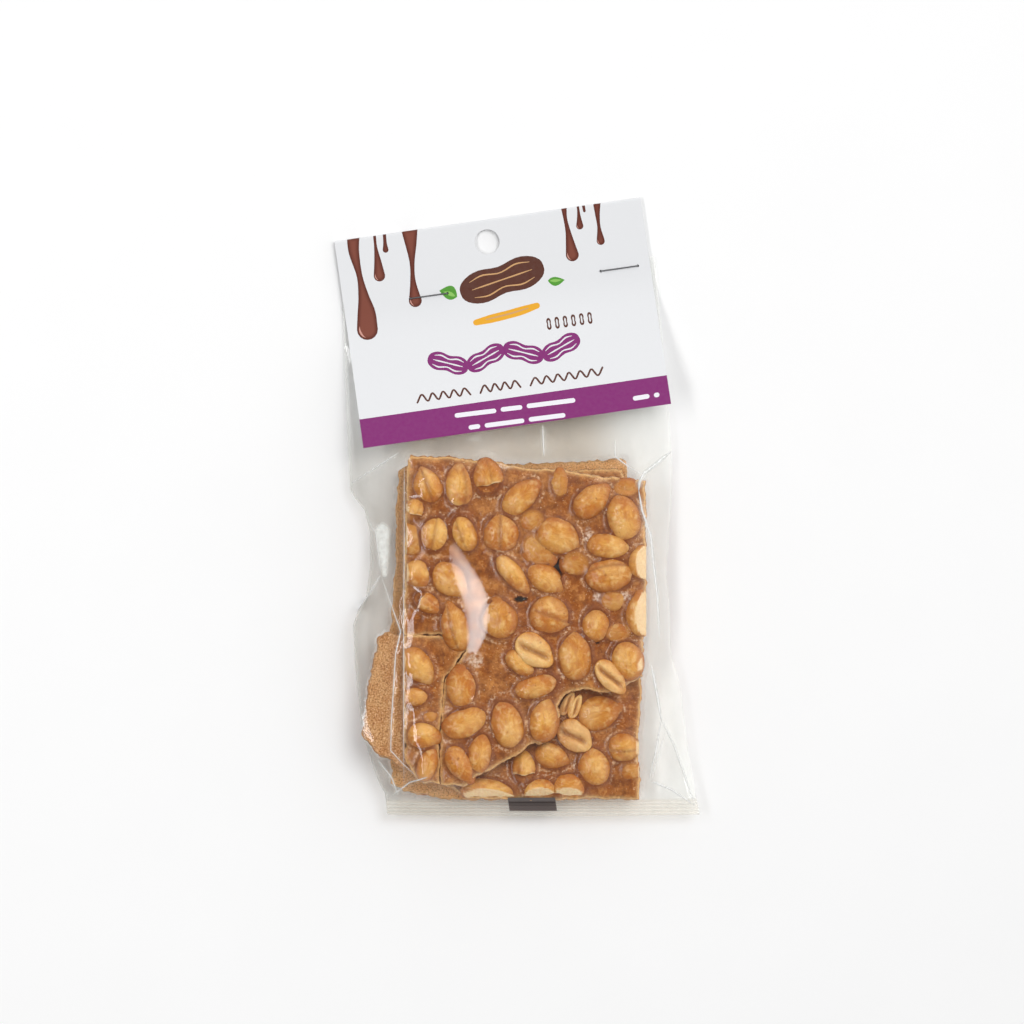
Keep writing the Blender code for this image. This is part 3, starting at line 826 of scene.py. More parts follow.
def build_slab(name, outline, layer, nuts, step, jag, seed, glaze, sandy, poured_up=True):
    """One slab: poured side, broken edge and sandy back as one closed mesh."""
    bottom = LAYER_BOTTOM[layer]
    outline = anticlockwise(line_from_photo(outline))
    ring = resampled(outline, step)
    normals = outward(ring)
    xs, ys = ring.T
    wander = 0.6 * noise(xs, ys, 3.1, seed + 2, 2) + 0.25 * noise(xs, ys, 0.9, seed + 3)
    rim = moved_out(ring, normals, jag * wander * straightness(ring) - 0.1)
    low, high = rim.min(axis=0), rim.max(axis=0)
    grid_x, grid_y = plan_grid(low, high, step)
    chance = np.random.default_rng(seed)
    grid_x = grid_x + chance.uniform(-0.2, 0.2, grid_x.size) * step
    grid_y = grid_y + chance.uniform(-0.2, 0.2, grid_y.size) * step
    thinned = max(1, round(1.2 / step))
    depth = depth_inside(grid_x, grid_y, rim[::thinned])
    keep = depth > 0.75 * step
    inner, inner_depth = np.stack([grid_x, grid_y], 1)[keep], depth[keep]
    plan = np.concatenate([rim, inner])
    plan_depth = np.concatenate([np.zeros(len(rim)), inner_depth])
    levels, looks = glaze_level(plan[:, 0], plan[:, 1], bottom, nuts, plan_depth, seed)
    top = np.column_stack([plan, levels])
    rings = []
    for row in range(1, SIDE_ROWS):
        share = row / (SIDE_ROWS - 1)
        bulge = 0.35 * math.sin(math.pi * share) - 0.25 * share
        rough = jag * 0.45 * noise(xs + 40 * share, ys - 23 * share, 1.3, seed + 5, 2)
        place = moved_out(rim, normals, bulge + rough * math.sin(math.pi * share))
        height = top[: len(rim), 2] * (1 - share) + bottom * share
        rings.append(np.column_stack([place, height]))
    base_step = step * BASE_COARSER
    base = np.stack(plan_grid(low, high, base_step), 1)
    base = base[depth_inside(*base.T, rings[-1][::thinned, :2]) > 0.8 * base_step]
    base_level = bottom + 0.10 + 0.10 * noise(base[:, 0], base[:, 1], 1.6, seed + 7, 2)
    points = np.concatenate([top, *rings, np.column_stack([base, base_level])])
    count = len(rim)
    loops = [np.arange(count)]
    loops += [np.arange(count) + len(top) + row * count for row in range(SIDE_ROWS - 1)]
    top_faces = triangulated(rim, inner)
    base_faces = triangulated(rings[-1][:, :2], base)
    base_first = len(top) + (SIDE_ROWS - 1) * count
    base_numbers = np.concatenate([loops[-1], np.arange(len(base)) + base_first])
    faces = top_faces.tolist()
    for near, far in zip(loops, loops[1:]):
        faces += strip(far, near).tolist()
    faces += base_numbers[base_faces][:, ::-1].tolist()
    indices = [0] * len(top_faces) + [1] * (len(faces) - len(top_faces))
    extra = len(points) - len(top)
    attributes = {key: np.concatenate([values, np.zeros(extra)]) for key, values in looks.items()}
    attributes["edge"] = np.concatenate([np.ones(count), np.exp(-inner_depth / 0.5), np.ones(extra)])
    if not poured_up:
        points, faces = turned_over(points, faces, layer)
    item = add_piece(name, points, faces, [glaze, sandy], indices, attributes, SLAB_SHARP)
    return settle(item, "filled_film", "bag")


# Nuts


def ball_faces(rings, sides):
    """Faces of a closed ball with a vertex at each end of its axis."""
    faces = []
    around = np.arange(sides)
    after = np.roll(around, -1)
    for ring in range(rings - 1):
        a = 1 + ring * sides
        faces += np.stack([a + around, a + after, a + sides + after, a + sides + around], 1).tolist()
    last = 1 + rings * sides
    faces += np.stack([np.zeros(sides, int), 1 + after, 1 + around], 1).tolist()
    faces += np.stack([np.full(sides, last), last - sides + around, last - sides + after], 1).tolist()
    return faces


def kernel(half_length, half_width, half_depth, kind, chance):
    """Points of a kernel lying along X, with what shows its flesh and its split line."""
    turn = np.linspace(0, math.pi, NUT_RINGS + 2)[1:-1]
    along = -np.cos(turn)[:, None]
    round_about = np.linspace(0, 2 * math.pi, NUT_SIDES, endpoint=False)
    round_about = round_about + 0.75 * np.sin(2 * round_about) / 2
    profile = (1 - np.abs(along) ** 2.5) ** 0.5
    pointed = chance.uniform(0.06, 0.26)
    profile = profile * (1 - pointed * smoothstep(0.0, 1.0, along))
    beak = 0.10 * np.exp(-(((along - 1) / 0.12) ** 2))
    angle = round_about[None, :]
    groove = math.pi / 2 + chance.uniform(-0.5, 0.5)
    away = np.angle(np.exp(1j * (angle - groove)))
    seam = np.zeros((NUT_RINGS, NUT_SIDES))
    radius = profile + 0 * angle
    wobble = noise(along * 2.1 + 9, angle * 0.9, 1.0, int(chance.integers(1, 9999)), 2)
    radius = radius * (1 + 0.045 * wobble)
    if kind in ("line", "broken", "pale"):
        line = np.exp(-((away / 0.13) ** 2)) * smoothstep(1.0, 0.75, np.abs(along))
        step = np.tanh(away / 0.1) * smoothstep(1.7, 0.9, np.abs(away))
        radius = radius * (1 - 0.055 * line) + 0.035 * step
        seam = 0.5 * line if kind == "line" else 0.3 * line
    points = np.stack(
        [
            (along + beak) * half_length + 0 * angle,
            radius * np.cos(angle) * half_width,
            radius * np.sin(angle) * half_depth,
        ],
        axis=-1,
    )
    ends = np.array([[-half_length, 0, 0], [half_length * 1.10, 0, 0]])
    inside = np.zeros((NUT_RINGS, NUT_SIDES))
    if kind == "open":
        cross = points[..., 1] / half_width
        lengthwise = points[..., 0] / half_length
        curl = cross + 0.10 - 0.20 * np.sin(2.4 * lengthwise)
        bowl = 0.62 * half_depth * np.exp(-((curl / 0.22) ** 2)) * smoothstep(1.0, 0.4, np.abs(lengthwise))
        bowl = bowl - 0.42 * half_depth * (1 - np.clip(cross**2 + lengthwise**2, 0, 1))
        lid = OPEN_FLAT * half_depth - bowl
        above = points[..., 2] > lid
        inside = np.where(above & (np.hypot(cross, lengthwise) < 0.93), 0.16, 0.0)
        split = np.exp(-((curl / 0.12) ** 2)) * smoothstep(0.9, 0.5, np.abs(lengthwise))
        seam = np.where(above, 0.62 * split, 0.0)
        points[..., 2] = np.where(above, lid, points[..., 2])
    if kind == "broken":
        rough = noise(points[..., 1], points[..., 2], 2.6, 77)
        limit = -BROKEN_AT * half_length + 0.10 * half_length * rough
        limit = limit - 0.35 * (points[..., 2] - half_depth)
        behind = points[..., 0] < limit
        inside = np.where(behind, 0.8, inside)
        points[..., 0] = np.where(behind, limit, points[..., 0])
        ends[0, 0] = -BROKEN_AT * half_length + 0.35 * half_depth
    body = np.concatenate([ends[:1], points.reshape(-1, 3), ends[1:]])
    around = body[:, 1] + 1.4 * body[:, 2] * np.sign(body[:, 1] + 1e-6)
    looks = {
        "inside": np.concatenate([[inside[0].mean()], inside.ravel(), [inside[-1].mean()]]),
        "seam": np.concatenate([[0.0], seam.ravel(), [0.0]]),
        "grain_along": body[:, 0] / 3.0,
        "grain_round": around / 0.8,
    }
    return body, looks


def turned(points, axis, angle):
    """Points turned about a coordinate axis."""
    first, second = [(1, 2), (2, 0), (0, 1)][axis]
    made = points.copy()
    made[:, first] = points[:, first] * math.cos(angle) - points[:, second] * math.sin(angle)
    made[:, second] = points[:, first] * math.sin(angle) + points[:, second] * math.cos(angle)
    return made


def cut_back(body, inside, cuts, plate):
    """Flattens what stands beyond a sawn side onto a slanted face, which shows the nut's flesh."""
    for pixel, normal, lean in cuts:
        place, normal = np.array(from_photo(*pixel)), np.array(normal)
        slant = np.array([*normal, lean])
        beyond = (body[:, :2] - place) @ normal + lean * (body[:, 2] - plate - 0.2)
        inside = np.where(beyond > 0, 1.0, inside)
        body = body - np.clip(beyond, 0, None)[:, None] * slant / (slant @ slant)
        beyond = (body[:, :2] - place) @ normal
        body[:, :2] -= np.clip(beyond, 0, None)[:, None] * normal
    return body, inside


def build_nuts(name, nuts, layer, seed, material, cuts=(), poured_up=True):
    """All the nuts of one slab as one mesh, cut back along the slab's sawn sides."""
    pattern = ball_faces(NUT_RINGS, NUT_SIDES)
    chance = np.random.default_rng(seed)
    painted_lit_sides = np.random.default_rng(seed + 50)
    plate = LAYER_BOTTOM[layer] + PLATE
    faces, points, values = [], [], []
    for number, nut in enumerate(nuts):
        kind = nut[5]
        x, y, half_length, half_width, turn = nut_frame(nut)
        half_length, half_width = (half_length, half_width) * np.array(NUT_SCALE.get(kind, USUAL_SCALE))
        half_depth = min(half_width * NUT_DEPTH + 0.4, MOST_NUT_DEPTH)
        half_depth *= LOW_DEPTH if kind == "low" else 1.0
        body, looks = kernel(half_length, half_width, half_depth, kind, chance)
        body = turned(body, 0, chance.uniform(-0.12, 0.12))
        body = turned(body, 1, chance.uniform(-0.07, 0.07))
        body = turned(body, 2, turn)
        rise = NUT_RISE[kind] + chance.uniform(-0.3, 0.25)
        top = half_depth * (OPEN_FLAT if kind == "open" else 1.0)
        body, looks["inside"] = cut_back(body + [x, y, plate + rise - top], looks["inside"], cuts, plate)
        body[:, 2] = np.maximum(body[:, 2], LAYER_BOTTOM[layer] + 0.4)
        above = (body[:, 2] - plate) / max(rise, 0.5)
        bare = np.clip(above / 0.90, 0, 1) if kind != "low" else np.clip(above, 0, 0.5)
        # Painted light and shade: each nut is lighter at its top and towards one side, drawn at random, and
        # darker on the other.
        side = painted_lit_sides.uniform(0, 2 * math.pi)
        towards_lit_side = (body[:, 0] - x) * math.cos(side) + (body[:, 1] - y) * math.sin(side)
        looks["grain_along"] += 9 * number
        looks["grain_round"] += 5 * number
        # Darker towards the plate: partly the caramel coating, partly painted shade on the nut's lower
        # sides.
        looks["coat_and_shade"] = (1 - bare) ** 1.3 * 0.85
        looks["crown"] = np.clip((above - 0.8) * 1.4 + 0.9 * towards_lit_side / half_length, -1, 1)
        looks["tone"] = np.full(len(body), 1.0 if kind == "pale" else chance.uniform(0, 0.85))
        faces += [[corner + number * len(body) for corner in face] for face in pattern]
        points.append(body)
        values.append(looks)
    points = np.concatenate(points)
    if not poured_up:
        points, faces = turned_over(points, faces, layer)
    attributes = {key: np.concatenate([looks[key] for looks in values]) for key in values[0]}
    item = add_piece(name, points, faces, [material], None, attributes, NUT_SHARP)
    return settle(item, "filled_film", "bag")


def scattered_nuts(outline, spacing, seed):
    """A seeded, jittered lot of nuts for a side that the photograph doesn't show, in pixels."""
    chance = np.random.default_rng(seed)
    outline = np.array(outline, float)
    low, high = outline.min(axis=0), outline.max(axis=0)
    nuts = []
    for row, py in enumerate(np.arange(low[1], high[1], spacing * 0.87)):
        for px in np.arange(low[0] + spacing / 2 * (row % 2), high[0], spacing):
            place = np.array([px, py]) + chance.uniform(-0.17, 0.17, 2) * spacing
            length, width = chance.uniform(38, 47), chance.uniform(26, 33)
            if depth_inside(place[:1], place[1:], outline)[0] > 0.45 * length:
                kind = chance.choice(["whole", "whole", "whole", "line", "low"])
                nuts.append((place[0], place[1], length, width, chance.uniform(0, 180), kind))
    return nuts


def build_brittle():
    """The slabs and their nuts; a slab's numbers are its layer, mesh step, rough edge's depth and seed."""
    glaze, nut = glaze_material(), nut_material()
    sandy = sandy_material("brittle_sandy", srgb(196, 134, 74), srgb(214, 160, 102))
    # Lighter copy of the sandy finish, as painted light on the back slab, which lies in the upper slabs'
    # shade.
    sandy_painted_light = sandy_material("brittle_sandy_painted_light", srgb(220, 158, 88), srgb(234, 180, 116))
    back_nuts = scattered_nuts(BACK_SLAB, 36, 31)
    shard_nuts = scattered_nuts(LEFT_SHARD, 32, 33)
    return [
        build_slab("slab_top", TOP_SLAB, 2, TOP_NUTS, 0.42, 0.7, 11, glaze, sandy),
        build_slab("slab_top_corner", CORNER_PIECE, 2, CORNER_NUTS, 0.42, 0.7, 12, glaze, sandy),
        build_slab("slab_middle", MIDDLE_SLAB, 1, MIDDLE_NUTS, 0.5, 0.6, 13, glaze, sandy),
        build_slab("slab_back", BACK_SLAB, 0, back_nuts, 0.65, 0.7, 14, glaze, sandy_painted_light, poured_up=False),
        build_slab("slab_left", LEFT_SHARD, 1, shard_nuts, 0.65, 0.8, 15, glaze, sandy, poured_up=False),
        build_nuts("nuts_top", TOP_NUTS, 2, 21, nut, [LEFT_CUT, RIGHT_CUT]),
        build_nuts("nuts_top_corner", CORNER_NUTS, 2, 22, nut, [CORNER_CUT]),
        build_nuts("nuts_middle", MIDDLE_NUTS, 1, 23, nut, [BOTTOM_CUT, MIDDLE_RIGHT_CUT]),
        build_nuts("nuts_back", back_nuts, 0, 24, nut, poured_up=False),
        build_nuts("nuts_left", shard_nuts, 1, 25, nut, poured_up=False),
    ]


# Card


def card_axes():
    """Unit vectors across the card, and down it from its fold."""
    return (
        np.array([math.cos(CARD_TURN), math.sin(CARD_TURN)]),
        np.array([math.sin(CARD_TURN), -math.cos(CARD_TURN)]),
    )


def panel_rise(down):
    """How far the front panel has lifted, at a distance down from the fold."""
    bent = np.clip(np.asarray(down, float) - CARD_BEND_START, 0.0, None)
    curved = np.minimum(bent, CARD_BEND_LENGTH) ** 2 / (2 * CARD_BEND_LENGTH)
    return math.tan(CARD_LIFT) * (curved + np.clip(bent - CARD_BEND_LENGTH, 0.0, None))


def front_panel_under(down):
    return CARD_FLOAT + CARD_THICK + PANEL_GAP + panel_rise(down)


def front_panel_reach():
    """How far the front panel reaches in plan, from its length along the sheet."""
    steps = np.linspace(0.0, CARD_FRONT_PANEL, 400)
    walked = np.cumsum(np.hypot(np.diff(steps), np.diff(panel_rise(steps))))
    return float(np.interp(CARD_FRONT_PANEL, walked, steps[1:]))


FOLD_LENGTH = math.pi * FOLD_RADIUS


def card_points(across_down, outer):
    """Points of the card from its flat sheet: across, and down the front or minus down the back."""
    u, v = across_down.T
    over = CARD_THICK if outer else 0.0
    middle = CARD_FLOAT + CARD_THICK + PANEL_GAP / 2
    radius = PANEL_GAP / 2 + over
    turn = np.clip(-v / FOLD_LENGTH, 0, 1) * math.pi
    down = np.where(v >= 0, v, np.where(v < -FOLD_LENGTH, -(v + FOLD_LENGTH), -radius * np.sin(turn)))
    fold_level = middle + radius * np.cos(turn)
    back_level = CARD_FLOAT + CARD_THICK - over
    level = np.where(v >= 0, front_panel_under(v) + over, np.where(v < -FOLD_LENGTH, back_level, fold_level))
    across_axis, down_axis = card_axes()
    place = np.array(CARD_FOLD_MIDDLE) + u[:, None] * across_axis + down[:, None] * down_axis
    return np.column_stack([place, level])


def on_card(line):
    """Pixels of the photograph as across and down on the card's front."""
    across_axis, down_axis = card_axes()
    rel = line_from_photo(line) - np.array(CARD_FOLD_MIDDLE)
    return np.column_stack([rel @ across_axis, rel @ down_axis])


def rectangle(left, right, top, bottom):
    """A rectangle on the flat sheet, with points along its sides where the sheet bends."""
    reach = front_panel_reach()
    front = np.arange(0, reach, CARD_MESH_STEP)
    back = -FOLD_LENGTH - np.arange(0, CARD_BACK_PANEL, CARD_MESH_STEP)
    stops = np.concatenate([front, back, fold_rows()])
    between = (stops < max(top, bottom) - 0.1) & (stops > min(top, bottom) + 0.1)
    stops = np.unique(np.round(stops[between], 4))
    stops = stops if bottom > top else stops[::-1]
    down = np.concatenate([[top], stops, [bottom]])
    up = down[::-1]
    return np.array([(right, v) for v in down] + [(left, v) for v in up])


def fold_rows():
    return np.linspace(0, -FOLD_LENGTH, 9)


def circle(middle, radius, sides):
    angle = np.linspace(0, 2 * math.pi, sides, endpoint=False)
    return np.array(middle) + radius * np.column_stack([np.cos(angle), np.sin(angle)])


def stroke(line, widths, count=24, round_start=True):
    """Outline of a stroke along a smooth line, with its width at each of the line's points."""
    middle = curve_through(line, count)
    half = curve_through(np.column_stack([widths, widths]), count)[:, 0] / 2
    along = np.gradient(middle, axis=0)
    along /= np.maximum(np.hypot(*along.T), 1e-9)[:, None]
    normal = np.column_stack([-along[:, 1], along[:, 0]])
    left, right = middle + normal * half[:, None], middle - normal * half[:, None]
    cap = np.linspace(math.pi / 2, -math.pi / 2, 9)[1:-1, None]
    end = middle[-1] + half[-1] * (np.cos(cap) * along[-1] + np.sin(cap) * normal[-1])
    parts = [left, end, right[::-1]]
    if round_start:
        parts.append(middle[0] - half[0] * (np.cos(cap) * along[0] + np.sin(cap) * normal[0]))
    return np.concatenate(parts)


# Printed chocolate drips: their middle lines in pixels, and the width at each point
DRIPS = [
    (
        [(352.5, 237), (353.5, 252), (359, 275), (363, 295), (366, 312), (367, 329)],
        (12.4, 10.5, 5.8, 10.5, 18, 21),
    ),
    ([(374, 235), (375.3, 247), (377.5, 262), (379, 275)], (2.8, 3.2, 7.5, 11.5)),
    ([(384, 233.5), (384.6, 242), (385.2, 249)], (3.2, 3.6, 5.8)),
    ([(409, 228.5), (410.5, 243), (411.8, 262), (412.6, 280), (415, 300)], (16.4, 11.5, 5.0, 5.4, 13)),
    ([(564, 207), (565.5, 218), (568.5, 232), (572.5, 254)], (5.6, 3.8, 5.6, 13)),
    ([(578, 204.5), (579, 214), (580, 225)], (2.2, 3.2, 7.2)),
    ([(583.5, 204), (584.6, 210)], (3.0, 2.6)),
    ([(597, 202), (597.8, 214), (599.2, 226), (601, 240)], (7.6, 4.6, 3.4, 8.2)),
]


def drip_shine(line, widths):
    """Light crescent on the lower left of a drip's bulb."""
    middle, radius = np.array(line[-1]), widths[-1] / 2
    angle = np.radians(np.linspace(100, 205, 14))
    outer = middle + radius * 0.80 * np.column_stack([np.cos(angle), np.sin(angle)])
    inner = middle + radius * 0.62 * np.column_stack([np.cos(angle), np.sin(angle)])
    inner = outer + (inner - outer) * np.sin(np.linspace(0, math.pi, 14))[:, None]
    return np.concatenate([outer, inner[1:-1][::-1]])


def pod(middle, turn, length, width):
    """Outline of a peanut pod: two round ends and a waist."""
    angle = np.linspace(0, 2 * math.pi, 40, endpoint=False)
    along, aside = np.cos(angle), np.sin(angle)
    waist = 1 - 0.30 * np.exp(-((along / 0.38) ** 2))
    x, y = along * length / 2, np.sign(aside) * np.abs(aside) ** 0.8 * waist * width / 2
    cosine, sine = math.cos(math.radians(turn)), math.sin(math.radians(turn))
    return np.column_stack([middle[0] + x * cosine - y * sine, middle[1] + x * sine + y * cosine])


def leaf(base, tip, width):
    """Outline of a leaf from its base to its tip."""
    base, tip = np.array(base, float), np.array(tip, float)
    share = np.linspace(0, 1, 14)
    along = tip - base
    normal = np.array([-along[1], along[0]]) / np.hypot(*along)
    half = width / 2 * np.sin(math.pi * share**0.8)
    bow = 0.12 * width * np.sin(math.pi * share)
    middle = base + share[:, None] * along + bow[:, None] * normal
    return np.concatenate([middle + half[:, None] * normal, (middle - half[:, None] * normal)[1:-1][::-1]])


def wave(start, end, count, height, width):
    """Outline of a wavy stroke."""
    start, end = np.array(start, float), np.array(end, float)
    share = np.linspace(0, 1, count)
    normal = np.array([-(end - start)[1], (end - start)[0]]) / np.hypot(*(end - start))
    line = start + share[:, None] * (end - start) + (height * (-1) ** np.arange(count))[:, None] * normal
    return stroke(line, [width] * count, count * 5)


def pod_with_veins(middle, turn, length, width, colour, vein):
    """A filled pod with three lighter strokes along it."""
    regions = [(colour, pod(middle, turn, length, width))]
    along = np.array([math.cos(math.radians(turn)), math.sin(math.radians(turn))])
    aside = np.array([-along[1], along[0]])
    spots = np.array([-0.36, -0.2, 0, 0.2, 0.36])[:, None] * length
    for side in (-0.26, 0.0, 0.26):
        bow = np.array([0.8, 1.05, 0.72, 1.05, 0.8])[:, None] * side * width
        line = np.array(middle) + spots * along + bow * aside
        regions.append((vein, stroke(line, [0.5, 1.5, 1.2, 1.5, 0.5], 16)))
    return regions


def badge():
    """Emblem in pixels: a pod over a ribbon, with a leaf on each side."""
    regions = [(colour, leaf(base, tip, width)) for colour, base, tip, width in LEAVES]
    regions += pod_with_veins(*EMBLEM_POD, "brown", "pale")
    regions.append(("gold", stroke(RIBBON, [6, 8.4, 8.4, 8.4, 6])))
    regions.append(("pale", stroke(RIBBON_SHINE, [1.2, 1.8, 1.2], 16)))
    return regions


def card_print():
    """Printed regions as (material, closed outline on the card), in the order they are painted."""
    reach = front_panel_reach()
    back_end = -(FOLD_LENGTH + CARD_BACK_PANEL)
    half = CARD_WIDTH / 2
    regions = [
        ("board", rectangle(-half, half, reach, back_end)),
        ("purple", rectangle(-half, half, reach, reach - BAND_HEIGHT)),
        ("purple", rectangle(-half, half, back_end, back_end + BAND_HEIGHT)),
    ]
    drawn = []
    for line, widths in DRIPS:
        drawn.append(("drip", stroke(line, widths, 30, round_start=False)))
        if widths[-1] > 6.0:
            drawn.append(("shine", drip_shine(line, widths)))
    drawn += badge()
    for number in range(TITLE_PODS):
        share = number / (TITLE_PODS - 1)
        middle = np.array(TITLE_ENDS[0]) * (1 - share) + np.array(TITLE_ENDS[1]) * share
        drawn += pod_with_veins(middle, -8 + 22 * (-1) ** number, 42, 22, "purple", "board")
    for number in range(SMALL_PODS):
        middle = np.array(SMALL_PODS_START) + np.array(SMALL_PODS_PITCH) * number
        drawn.append(("brown", pod(middle, 82, 12, 5.4)))
        drawn.append(("board", pod(middle, 82, 7.6, 2.0)))
    for start, end, count in SUBLINE_WAVES:
        drawn.append(("brown", wave(start, end, count, 3.6, 1.9)))
    for start, end in BAND_BARS:
        drawn.append(("white", stroke([start, end], [4.6, 4.6], 10)))
    return regions + [(name, on_card(outline)) for name, outline in drawn]


def card_holes():
    """Outlines of the hang hole and the staples' holes, in both panels."""
    holes = []
    across, down = HANG_HOLE_PLACE
    for base, side in ((0.0, 1), (-FOLD_LENGTH, -1)):
        holes.append(circle((across, base + side * down), HANG_HOLE_RADIUS, 64))
        for staple in STAPLE_ACROSS:
            for leg in (-1, 1):
                place = (staple + leg * STAPLE_CROWN / 2, base + side * STAPLE_DOWN)
                holes.append(circle(place, LEG_HOLE_RADIUS, 12))
    return holes


def build_card():
    """The folded card as one closed skin, whose faces carry the print."""
    looks = {
        "board": board_material("card_white", srgb(227, 228, 230)),
        "white": board_material("print_white", srgb(236, 234, 240)),
        "purple": board_material("print_purple", srgb(131, 43, 113)),
        "brown": board_material("print_brown", srgb(90, 50, 38)),
        "pale": board_material("print_pale", srgb(206, 160, 110)),
        "gold": board_material("print_gold", srgb(232, 168, 40)),
        "green": board_material("print_green", srgb(84, 152, 52)),
        "light_green": board_material("print_light_green", srgb(140, 194, 96)),
        "drip": drip_material(),
        "shine": board_material("print_shine", srgb(206, 152, 138)),
    }
    names = list(looks)
    regions, holes = card_print(), card_holes()
    loops = [anticlockwise(outline) for _, outline in regions] + [anticlockwise(hole) for hole in holes]
    low, high = loops[0].min(axis=0), loops[0].max(axis=0)
    drips = [loop for (name, _), loop in zip(regions, loops) if name == "drip"]
    parts = [np.concatenate(loops)]
    for step, keep_in in [(CARD_MESH_STEP, loops[0])] + [(DRIP_MESH_STEP, loop) for loop in drips]:
        u, v = plan_grid(keep_in.min(axis=0) + step / 2, keep_in.max(axis=0), step)
        keep = (depth_inside(u, v, keep_in) > 0.3 * step) & ((v > 0.3) | (v < -FOLD_LENGTH - 0.3))
        parts.append(np.column_stack([u, v])[keep])
    u, v = np.meshgrid(np.linspace(low[0], high[0], 121)[1:-1], fold_rows())
    parts.append(np.column_stack([u.ravel(), v.ravel()]))
    numbers, first = [], 0
    for loop in loops:
        numbers.append(list(range(first, first + len(loop))))
        first += len(loop)
    made = delaunay_2d_cdt([Vector(point) for point in np.concatenate(parts)], [], numbers, 1, 1e-5)
    flat = np.array([tuple(point) for point in made[0]])
    faces, indices = [], []
    for face, sources in zip(made[2], made[5]):
        if sources and max(sources) < len(regions):
            faces.append(face[::-1])
            indices.append(names.index(regions[max(sources)][0]))
    inner = [[number + len(flat) for number in face[::-1]] for face in faces]
    edges = {(a, b) for face in faces for a, b in zip(face, face[1:] + face[:1])}
    rim = [[b, a, a + len(flat), b + len(flat)] for a, b in sorted(edges) if (b, a) not in edges]
    depth = np.zeros(len(flat))
    for loop in drips:
        depth = np.maximum(depth, smoothstep(0.0, 1.5, depth_inside(*flat.T, loop)))
    points = np.concatenate([card_points(flat, True), card_points(flat, False)])
    indices += [0] * (len(inner) + len(rim))
    attributes = {"depth": np.concatenate([depth, depth])}
    faces += inner + rim
    item = add_piece("header_print", points, faces, list(looks.values()), indices, attributes, CARD_SHARP)
    return settle(item, "board", "header_card")


# Film


def film_plan():
    """Plan of the film's grid: x and y of each point, its distance down the card, and the seams' level."""
    seal_share = (SEAL_TOP - LEFT_EDGE[0][0]) / (LEFT_EDGE[-1][0] - LEFT_EDGE[0][0])
    seal_rows = np.linspace(0, seal_share, FILM_SEAL_ROWS + 1)[:-1]
    up = np.concatenate([seal_rows, np.linspace(seal_share, 1, FILM_ROWS - FILM_SEAL_ROWS + 1)])[:, None]
    left_y = LEFT_EDGE[0][0] + up * (LEFT_EDGE[-1][0] - LEFT_EDGE[0][0])
    right_y = RIGHT_EDGE[0][0] + up * (RIGHT_EDGE[-1][0] - RIGHT_EDGE[0][0])
    left_x = np.interp(left_y, *zip(*LEFT_EDGE))
    right_x = np.interp(right_y, *zip(*RIGHT_EDGE))
    even = np.linspace(0, 1, FILM_COLUMNS + 1)[None, :]
    over = FILM_CROWDING * (1 - np.cos(math.pi * even)) / 2 + (1 - FILM_CROWDING) * even
    x = left_x + over * (right_x - left_x)
    y = left_y + over * (right_y - left_y)
    y = y - 0.6 * np.sin(math.pi * over) * smoothstep(0.06, 0.0, up)
    down_axis = card_axes()[1]
    down = (x - CARD_FOLD_MIDDLE[0]) * down_axis[0] + (y - CARD_FOLD_MIDDLE[1]) * down_axis[1]
    seam = np.interp(left_y, *zip(*SEAM_LEFT)) * (1 - over) + np.interp(right_y, *zip(*SEAM_RIGHT)) * over
    return x, y, down, seam, over + 0 * up


def highest(pieces, x, y, upwards):
    """Level of the pieces' surface that a vertical ray meets first, and NaN where it meets none."""
    points, faces = [], []
    for item in pieces:
        first = len(points)
        points += [vertex.co.copy() for vertex in item.data.vertices]
        faces += [[number + first for number in face.vertices] for face in item.data.polygons]
    tree = BVHTree.FromPolygons(points, faces)
    start, way = (-0.1, 1.0) if upwards else (0.1, -1.0)
    found = np.full(x.size, np.nan)
    for number, (a, b) in enumerate(zip(x.ravel() * MM, y.ravel() * MM)):
        hit = tree.ray_cast(Vector((a, b, start)), Vector((0, 0, way)))[0]
        if hit is not None:
            found[number] = hit.z / MM
    return found.reshape(x.shape)


def spread(values, pick, reach=1):
    """Each point takes the largest, smallest or mean value near it."""
    padded = np.pad(values, reach, mode="edge")
    rows, columns = values.shape
    moves = range(2 * reach + 1)
    return pick([padded[i : i + rows, j : j + columns] for i in moves for j in moves], axis=0)


def finer(values):
    """A grid with a point added between each two."""
    for _ in range(2):
        made = np.zeros((2 * values.shape[0] - 1, values.shape[1]))
        made[::2] = values
        made[1::2] = (values[:-1] + values[1:]) / 2
        values = made.T
    return values


def draped(start, fixed, lowest, highest_level):
    """A stretched sheet between an obstacle under it and one over it, relaxed from coarse to fine."""
    level = start[::8, ::8]
    for skip, steps in ((8, 500), (4, 200), (2, 120), (1, 60)):
        held, first = fixed[::skip, ::skip], start[::skip, ::skip]
        low, high = lowest[::skip, ::skip], highest_level[::skip, ::skip]
        level = np.where(held, first, level)
        for _ in range(steps):
            mean = level.copy()
            mean[1:-1, 1:-1] = (level[:-2, 1:-1] + level[2:, 1:-1] + level[1:-1, :-2] + level[1:-1, 2:]) / 4
            level = np.where(held, first, np.minimum(np.maximum(mean, low), high))
        if skip > 1:
            level = finer(level)
    return level


